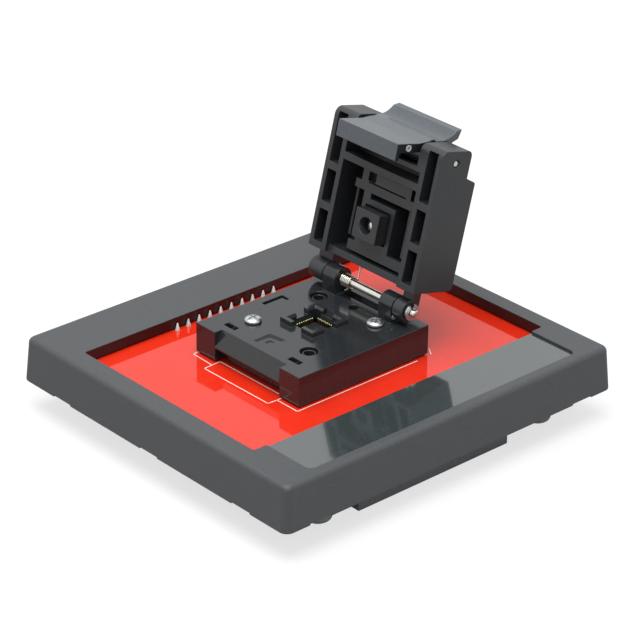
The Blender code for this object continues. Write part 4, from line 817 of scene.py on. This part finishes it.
def tube(points, radius, sides=12):
    """Round wire along a path."""
    points = [Vector(p) for p in points]
    bm = bmesh.new()
    rings = []
    side = None
    for i, point in enumerate(points):
        ahead = (points[min(i + 1, len(points) - 1)] - points[max(i - 1, 0)]).normalized()
        side = ahead.orthogonal().normalized() if side is None else side
        side = (side - ahead * side.dot(ahead)).normalized()
        up = ahead.cross(side)
        angles = [2 * math.pi * k / sides for k in range(sides)]
        rings.append([bm.verts.new(point + (side * math.cos(a) + up * math.sin(a)) * radius) for a in angles])
    for low, high in zip(rings, rings[1:]):
        for i in range(sides):
            j = (i + 1) % sides
            bm.faces.new((low[i], low[j], high[j], high[i]))
    bm.faces.new(rings[0][::-1])
    bm.faces.new(rings[-1])
    return solid(bm)


def helix(centre, radius, start, pitch, coils, per_turn=36):
    """Points of a coil round an axis along Y, from the side towards +X."""
    steps = int(round(coils * per_turn))
    turns = [coils * i / steps for i in range(steps + 1)]
    return [(centre[0] + radius * math.cos(2 * math.pi * t), start + pitch * t,
             centre[1] + radius * math.sin(2 * math.pi * t)) for t in turns]


# Music wire: drawn bright, with highlights along each turn.
music_wire = surface("drawn_music_wire", "#c8c4bb", "#efece4", 0.2, 0, (0.12, 0.28), Metallic=1.0)
lean = math.radians(OPEN_ANGLE)
up_the_lid = Vector((-math.cos(lean), 0, math.sin(lean)))
coil = helix(HINGE, COIL_RADIUS, COIL_REAR, -COIL_PITCH, COIL_TURNS - (OPEN_ANGLE - 90) / 360)
upper = [tuple(Vector(coil[-1]) + up_the_lid * UPPER_LEG * k / UPPER_LEG_POINTS)
         for k in range(1, UPPER_LEG_POINTS + 1)]
bend = arc((hinge_x + FOOT_REACH, FOOT_LEVEL + FOOT_BEND), FOOT_BEND, -90, 0, 8)
lower = [(x, COIL_REAR, z) for x, z in [(hinge_x, FOOT_LEVEL)] + bend]
dressed(eased(tube(lower + coil + upper, WIRE_RADIUS), 0), "hinge_spring", music_wire, "base", "spring_wire",
        "torsion_spring")

# Lid
# Black glass-filled PES, moulded with pockets and ribs so that it stays flat, and hung on the hinge pin.
# It is drawn closed, with u along it from the hinge end and v up from its inner face, then opened.
LID_REACH = 4.02
FACE_DROP = 2.46
LID_LENGTH = 26.1
LID_HALF = 13.73
LID_THICKNESS = 9.85
NOSE_THICKNESS = 7.5
NOSE_START = 21
STEP_RUN = 0.8
LID_CORNERS = [0, 1.5, 1.0, 0, 0.5, 1.0]
FRONT_ARM = (-11.65, -9.25)
REAR_ARM = (9.25, 12.9)
LID_RIM = 1.05
LID_RIB = 1.1
POCKET_WIDTH = 2.25
POCKETS = ((1.2, 7.2), (8.65, 14.65), (16.1, 25.3))
POCKET_DEPTH = 6.0
WELL_HALF = LID_HALF - LID_RIM - POCKET_WIDTH - LID_RIB
WELL = (1.3, 17.5)
WELL_DEPTH = 6.5
EDGE_RELIEF = (1.4, 1.0)
BAR_RECESS = (18.9, 20.88)
BAR_RECESS_DEPTH = 4.0
LATCH_NOTCH = [(21.1, 11), (21.1, 1.18), (21.88, 1.18), (21.88, -1), (27.1, -1), (27.1, 11)]
LATCH_NOTCH_HALF = 8.3
PIVOT = (23.76, 4.06)
LATCH_BORE = 0.58
LATCH_SOCKET = (0.7, 0.3)
BLOCK_U = 8.05
BLOCK_SCREW_BORE = [(0.7, 3.04), (0.7, 5.94)]
INNER_RIBS = (4.05, 12.95)
INNER_RIB_Y = 6.765
INNER_RIB_HALF = 0.3
INNER_RIB_LEVELS = (2.6, 7.5)

opened = (Matrix.Translation((hinge_x / 1000, BASE_Y / 1000, hinge_z / 1000))
          @ Matrix.Rotation(lean, 4, "Y"))


def on_lid(u, v):
    """Closed-lid x and z of a point u along the lid and v above its inner face."""
    return (-(LID_REACH + u), v - FACE_DROP)


def lid_box(u0, u1, y0, y1, v0, v1):
    """Box along, across and up from the lid's inner face."""
    x1, z0 = on_lid(u0, v0)
    x0, z1 = on_lid(u1, v1)
    return box(x0, x1, y0, y1, z0, z1)


def lid_prism(outline, y0, y1):
    """Outline in u and v drawn out across the lid."""
    return prism([on_lid(u, v) for u, v in outline], y0, y1, "Y")


def lid_round(radius, y0, y1):
    """Round solid across the lid, about the latch's pivot."""
    return prism(circle(on_lid(*PIVOT), radius), y0, y1, "Y")


def set_open(shape):
    """Shape turned from the closed lid to the open one."""
    shape.data.transform(opened)
    return shape


# Satin PES: the lid's faces were eroded lightly in the mould, not polished, so they stay an even dark grey.
satin_pes = surface("satin_moulded_pes", "#242628", "#2e3033", 0.5, 0.008, (0.32, 0.46), IOR=1.55)
lid = lid_prism(rounded([(0, 0), (LID_LENGTH, 0), (LID_LENGTH, NOSE_THICKNESS), (NOSE_START, NOSE_THICKNESS),
                         (NOSE_START - STEP_RUN, LID_THICKNESS), (0, LID_THICKNESS)], LID_CORNERS),
                -LID_HALF, LID_HALF)
arm_end = -(LID_REACH + LID_RIM)
arm = arc((0, 0), EAR_RADIUS, -180, 90, 60) + [(arm_end, EAR_RADIUS), (arm_end, 0)]
arms = together([prism(arm, *ends, "Y") for ends in (FRONT_ARM, REAR_ARM)])
pockets = []
for side in (-1, 1):
    y0, y1 = sorted((side * (LID_HALF - LID_RIM), side * (LID_HALF - LID_RIM - POCKET_WIDTH)))
    for u0, u1 in POCKETS:
        pockets.append(lid_box(u0, u1, y0, y1, -OVERRUN, POCKET_DEPTH))
well = lid_box(*WELL, -WELL_HALF, WELL_HALF, -OVERRUN, WELL_DEPTH)
edge_relief = lid_box(-OVERRUN, EDGE_RELIEF[0], -WELL_HALF, WELL_HALF, -OVERRUN, EDGE_RELIEF[1])
bar_recess = lid_box(*BAR_RECESS, -WELL_HALF, WELL_HALF, -OVERRUN, BAR_RECESS_DEPTH)
latch_notch = lid_prism(LATCH_NOTCH, -LATCH_NOTCH_HALF, LATCH_NOTCH_HALF)
latch_bore = lid_round(LATCH_BORE, -LID_HALF - OVERRUN, LID_HALF + OVERRUN)
radius, depth = LATCH_SOCKET
latch_sockets = together([lid_round(radius, side * LID_HALF - depth, side * LID_HALF + depth)
                          for side in (-1, 1)])
pin_bore = prism(circle((0, 0), PIN_BORE), -LID_HALF, LID_HALF, "Y")
block_place = (-(LID_REACH + BLOCK_U), 0)
screw_bore = turned(block_place, BLOCK_SCREW_BORE)
lid = joined(lid, arms)
lid = cut(lid, together(pockets), well, edge_relief, bar_recess, latch_notch, latch_bore, latch_sockets,
          pin_bore, screw_bore)
ribs = together([lid_box(*INNER_RIBS, y - INNER_RIB_HALF, y + INNER_RIB_HALF, *INNER_RIB_LEVELS)
                 for y in (-INNER_RIB_Y, INNER_RIB_Y)])
lid = joined(lid, ribs)
dressed(set_open(eased(lid, 0.13)), "lid_moulding", satin_pes, "lid", "lid_plastic", "lid_frame")

# Pusher holder
# A PES plate with arms, moulded like the lid and dropped into its well. A collar behind the plate guides
# the pressure block, and bands across the well tie the plate to the lid.
HOLDER_LEVELS = (1.6, 2.6)
COLLAR_LEVELS = (2.5, 6.2)
HOLDER_EDGE = -WELL_HALF + 0.25
# Limits along and across the lid: plate, lower band, stem, upper band, two bridges and the top bar.
HOLDER_PARTS = [(1.9, 12.2, -4.2, 4.2), (1.9, 3.75, HOLDER_EDGE, 5.75), (12.1, 13.35, 2.4, 4.2),
                (13.25, 14.85, HOLDER_EDGE, 6.75), (14.75, 15.2, 3.6, 5.4), (14.75, 15.2, HOLDER_EDGE, -5.9),
                (15.1, 17.2, HOLDER_EDGE, 5.4)]
COLLAR_BORE_HALF = (3.55, 3.75)
BLOCK_OPENING_HALF = (3.05, 3.25)
# Limits of the two slots in the top bar.
HOLDER_SLOTS = [(15.2, 16.9, 1.95, 3.85), (14.95, 17.0, HOLDER_EDGE + 0.5, HOLDER_EDGE + 2.0)]
HOLDER_CUT = (0, 4)

holder = joined(*[lid_box(*limits, *HOLDER_LEVELS) for limits in HOLDER_PARTS])


def about_block(half, v0, v1):
    """Box about the pressure block's axis from its half sizes along and across the lid."""
    return lid_box(BLOCK_U - half[0], BLOCK_U + half[0], -half[1], half[1], v0, v1)


collar = cut(lid_box(*HOLDER_PARTS[0], *COLLAR_LEVELS), about_block(COLLAR_BORE_HALF, 1, 7.5))
holder = joined(holder, collar)
holder = cut(holder, about_block(BLOCK_OPENING_HALF, *HOLDER_CUT),
             *[lid_box(*limits, *HOLDER_CUT) for limits in HOLDER_SLOTS])
dressed(set_open(eased(holder, 0.04, 2)), "holder_plate", satin_pes, "lid", "lid_plastic", "pusher_holder")

# Pressure block
# Hard moulded block that presses the package onto its contacts, with a flange that stays behind the holder.
# A ground steel shoulder screw in its round hole holds it to the lid, and a spring pushes it out.
BLOCK_HALF = (2.75, 2.95)
BLOCK_LEVELS = (-0.8, 3.0)
FLANGE_HALF = (3.25, 3.45)
FLANGE_LEVELS = (2.9, 3.9)
# Radii and closed heights of the block's stepped hole.
BLOCK_HOLE = [(1.55, -4.26), (1.55, -1.06), (0.7, -1.06), (0.7, 6)]
SCREW_HEAD_TOP = -1.16
# Radii and heights of the screw's domed head from its underside, and of its shank.
SHOULDER_HEAD = [(0.1, -0.9), (0.5, -0.86), (0.85, -0.7), (1.05, -0.45), (1.1, -0.25), (1.1, 0), (0.6, 0)]
SHOULDER_END = (0.6, 5.84)

block = joined(about_block(BLOCK_HALF, *BLOCK_LEVELS), about_block(FLANGE_HALF, *FLANGE_LEVELS))
block = cut(block, turned(block_place, BLOCK_HOLE))
dressed(set_open(eased(block, 0.12)), "block_moulding", satin_pes, "pressure_block", "block_plastic",
        "pressure_block")
screw = turned(block_place, raised(SHOULDER_HEAD, SCREW_HEAD_TOP) + [SHOULDER_END])
dressed(set_open(eased(screw, 0)), "shoulder_screw", ground_steel, "lid", "bright_steel", "block_screw")
recoated("pressure_spring", music_wire)

# Latch
# One moulding across the lid's nose: hook plate and lip below the pivot, thumb wing above it.
# It turns on a ground shaft through the lid, and a spring on that shaft pushes the hook in.
LATCH_HALF = 7.53
WING_HALF = 8.05
BOSS_RADIUS = 2.44
PLATE_OUT = 1.94
PLATE_IN = 0.24
PLATE_TAPER = -3.4
HOOK_LOW = -9.05
LIP = [(PLATE_IN, -8.05), (-1.06, -8.05), (-1.16, -8.45), (-1.16, HOOK_LOW)]
# Angles in degrees round the boss where the plate's taper meets it, and where the wing covers it.
TAPER_MEETS = -8.9
WING_COVERS = (70, 80)
WING_ROOT = [(BOSS_RADIUS / 2, 0), (BOSS_RADIUS - 0.02, 0), (BOSS_RADIUS, 0.6)]
WING_HOLLOW_RADIUS = 4.2
WING_HOLLOW_LEVEL = 1.09
WING_TIP = [(4.08, 4.47), (4.42, 5.83)]
WING_BACK = [(2.64, 5.34), (2.0, 4.05), (0.73, 2.2)]
SPRING_SLOT = [(-4.88, -2.56), (1.54, -2.56), (1.54, 2.56), (-4.88, 2.56)]
SPRING_SLOT_ENDS = (3.2, 5.8)
SHAFT_RADIUS = 0.5
SHAFT_INSET = 0.3
ROLL_PIN_PLACE = (-1.09, -6.16)
ROLL_PIN_RADIUS = 0.6
ROLL_PIN_BORE = 0.7
ROLL_PIN_HOLE = 0.36
ROLL_PIN_ENDS = (-7.6, -2.73)
ROLL_PIN_BORE_END = -2.43
ROLL_PIN_HOLE_END = -6.9

hooked = opened @ Matrix.Translation((-(LID_REACH + PIVOT[0]) / 1000, 0, (PIVOT[1] - FACE_DROP) / 1000))


def on_latch(points):
    """Points in u and v about the latch's pivot, as x and z."""
    return [(-u, v) for u, v in points]


def set_hooked(shape):
    """Shape moved from the latch's pivot to its place on the open lid."""
    shape.data.transform(hooked)
    return shape


# Satin PEI: slightly paler and bluer than the lid.
satin_pei = surface("satin_moulded_pei", "#454b50", "#52595f", 0.6, 0.004, (0.26, 0.36), IOR=1.62)
# Painted shade: the latch's end faces get a darker copy of its PEI, standing in for the shade that falls
# on the ends.
shade_painted_pei = surface("shade_painted_pei", "#17191d", "#1f2226", 0.3, 0.004, Roughness=0.5, IOR=1.4)
# Rolled spring steel: a sheared end with a frosted look, so the ring shows pale in the dark end face.
rolled_steel = surface("rolled_spring_steel", "#c4c6c8", "#f0f1f2", 0.3, 0, (0.4, 0.6), Metallic=0.3)

shaft = lid_round(SHAFT_RADIUS, SHAFT_INSET - LID_HALF, LID_HALF - SHAFT_INSET)
dressed(set_open(eased(shaft, 0.06, 2)), "latch_shaft", ground_steel, "lid", "bright_steel", "latch_pin")
plate_meets = 270 + math.degrees(math.asin(PLATE_IN / BOSS_RADIUS))
outline = ([(PLATE_OUT, HOOK_LOW), (PLATE_OUT, PLATE_TAPER)]
           + arc((0, 0), BOSS_RADIUS, TAPER_MEETS, WING_COVERS[0], 18)
           + arc((0, 0), BOSS_RADIUS, WING_COVERS[1], plate_meets, 40) + LIP)
hollow_centre = (BOSS_RADIUS + WING_HOLLOW_RADIUS, WING_HOLLOW_LEVEL)
wing = WING_ROOT + arc(hollow_centre, WING_HOLLOW_RADIUS, 180, 135, 24) + WING_TIP + WING_BACK
latch = joined(prism(on_latch(outline), -LATCH_HALF, LATCH_HALF, "Y"),
               prism(on_latch(wing), -WING_HALF, WING_HALF, "Y"))
latch = cut(latch, prism(circle((0, 0), LATCH_BORE), -WING_HALF - OVERRUN, WING_HALF + OVERRUN, "Y"),
            prism(on_latch(SPRING_SLOT), *SPRING_SLOT_ENDS, "Y"),
            prism(circle(ROLL_PIN_PLACE, ROLL_PIN_BORE), -LATCH_HALF - OVERRUN, ROLL_PIN_BORE_END, "Y"))
dressed(set_hooked(eased(latch, 0.13)), "latch_moulding", satin_pei, "latch", "latch_plastic", "latch")


def latch_end(centre, normal):
    """Whether a face of the latch is one of its end faces, which take the painted shade."""
    return abs(normal.y) > FACING and abs(abs(centre.y - BASE_Y) - LATCH_HALF) < TOUCHING


# The end faces are painted darker: painted shade.
refinished(latch, shade_painted_pei, latch_end)
roll = cut(prism(circle(ROLL_PIN_PLACE, ROLL_PIN_RADIUS), *ROLL_PIN_ENDS, "Y"),
           prism(circle(ROLL_PIN_PLACE, ROLL_PIN_HOLE), -LATCH_HALF - OVERRUN, ROLL_PIN_HOLE_END, "Y"))
dressed(set_hooked(eased(roll, 0)), "roll_pin", rolled_steel, "latch", "bright_steel", "latch_roll_pin")
recoated("latch_spring", music_wire)
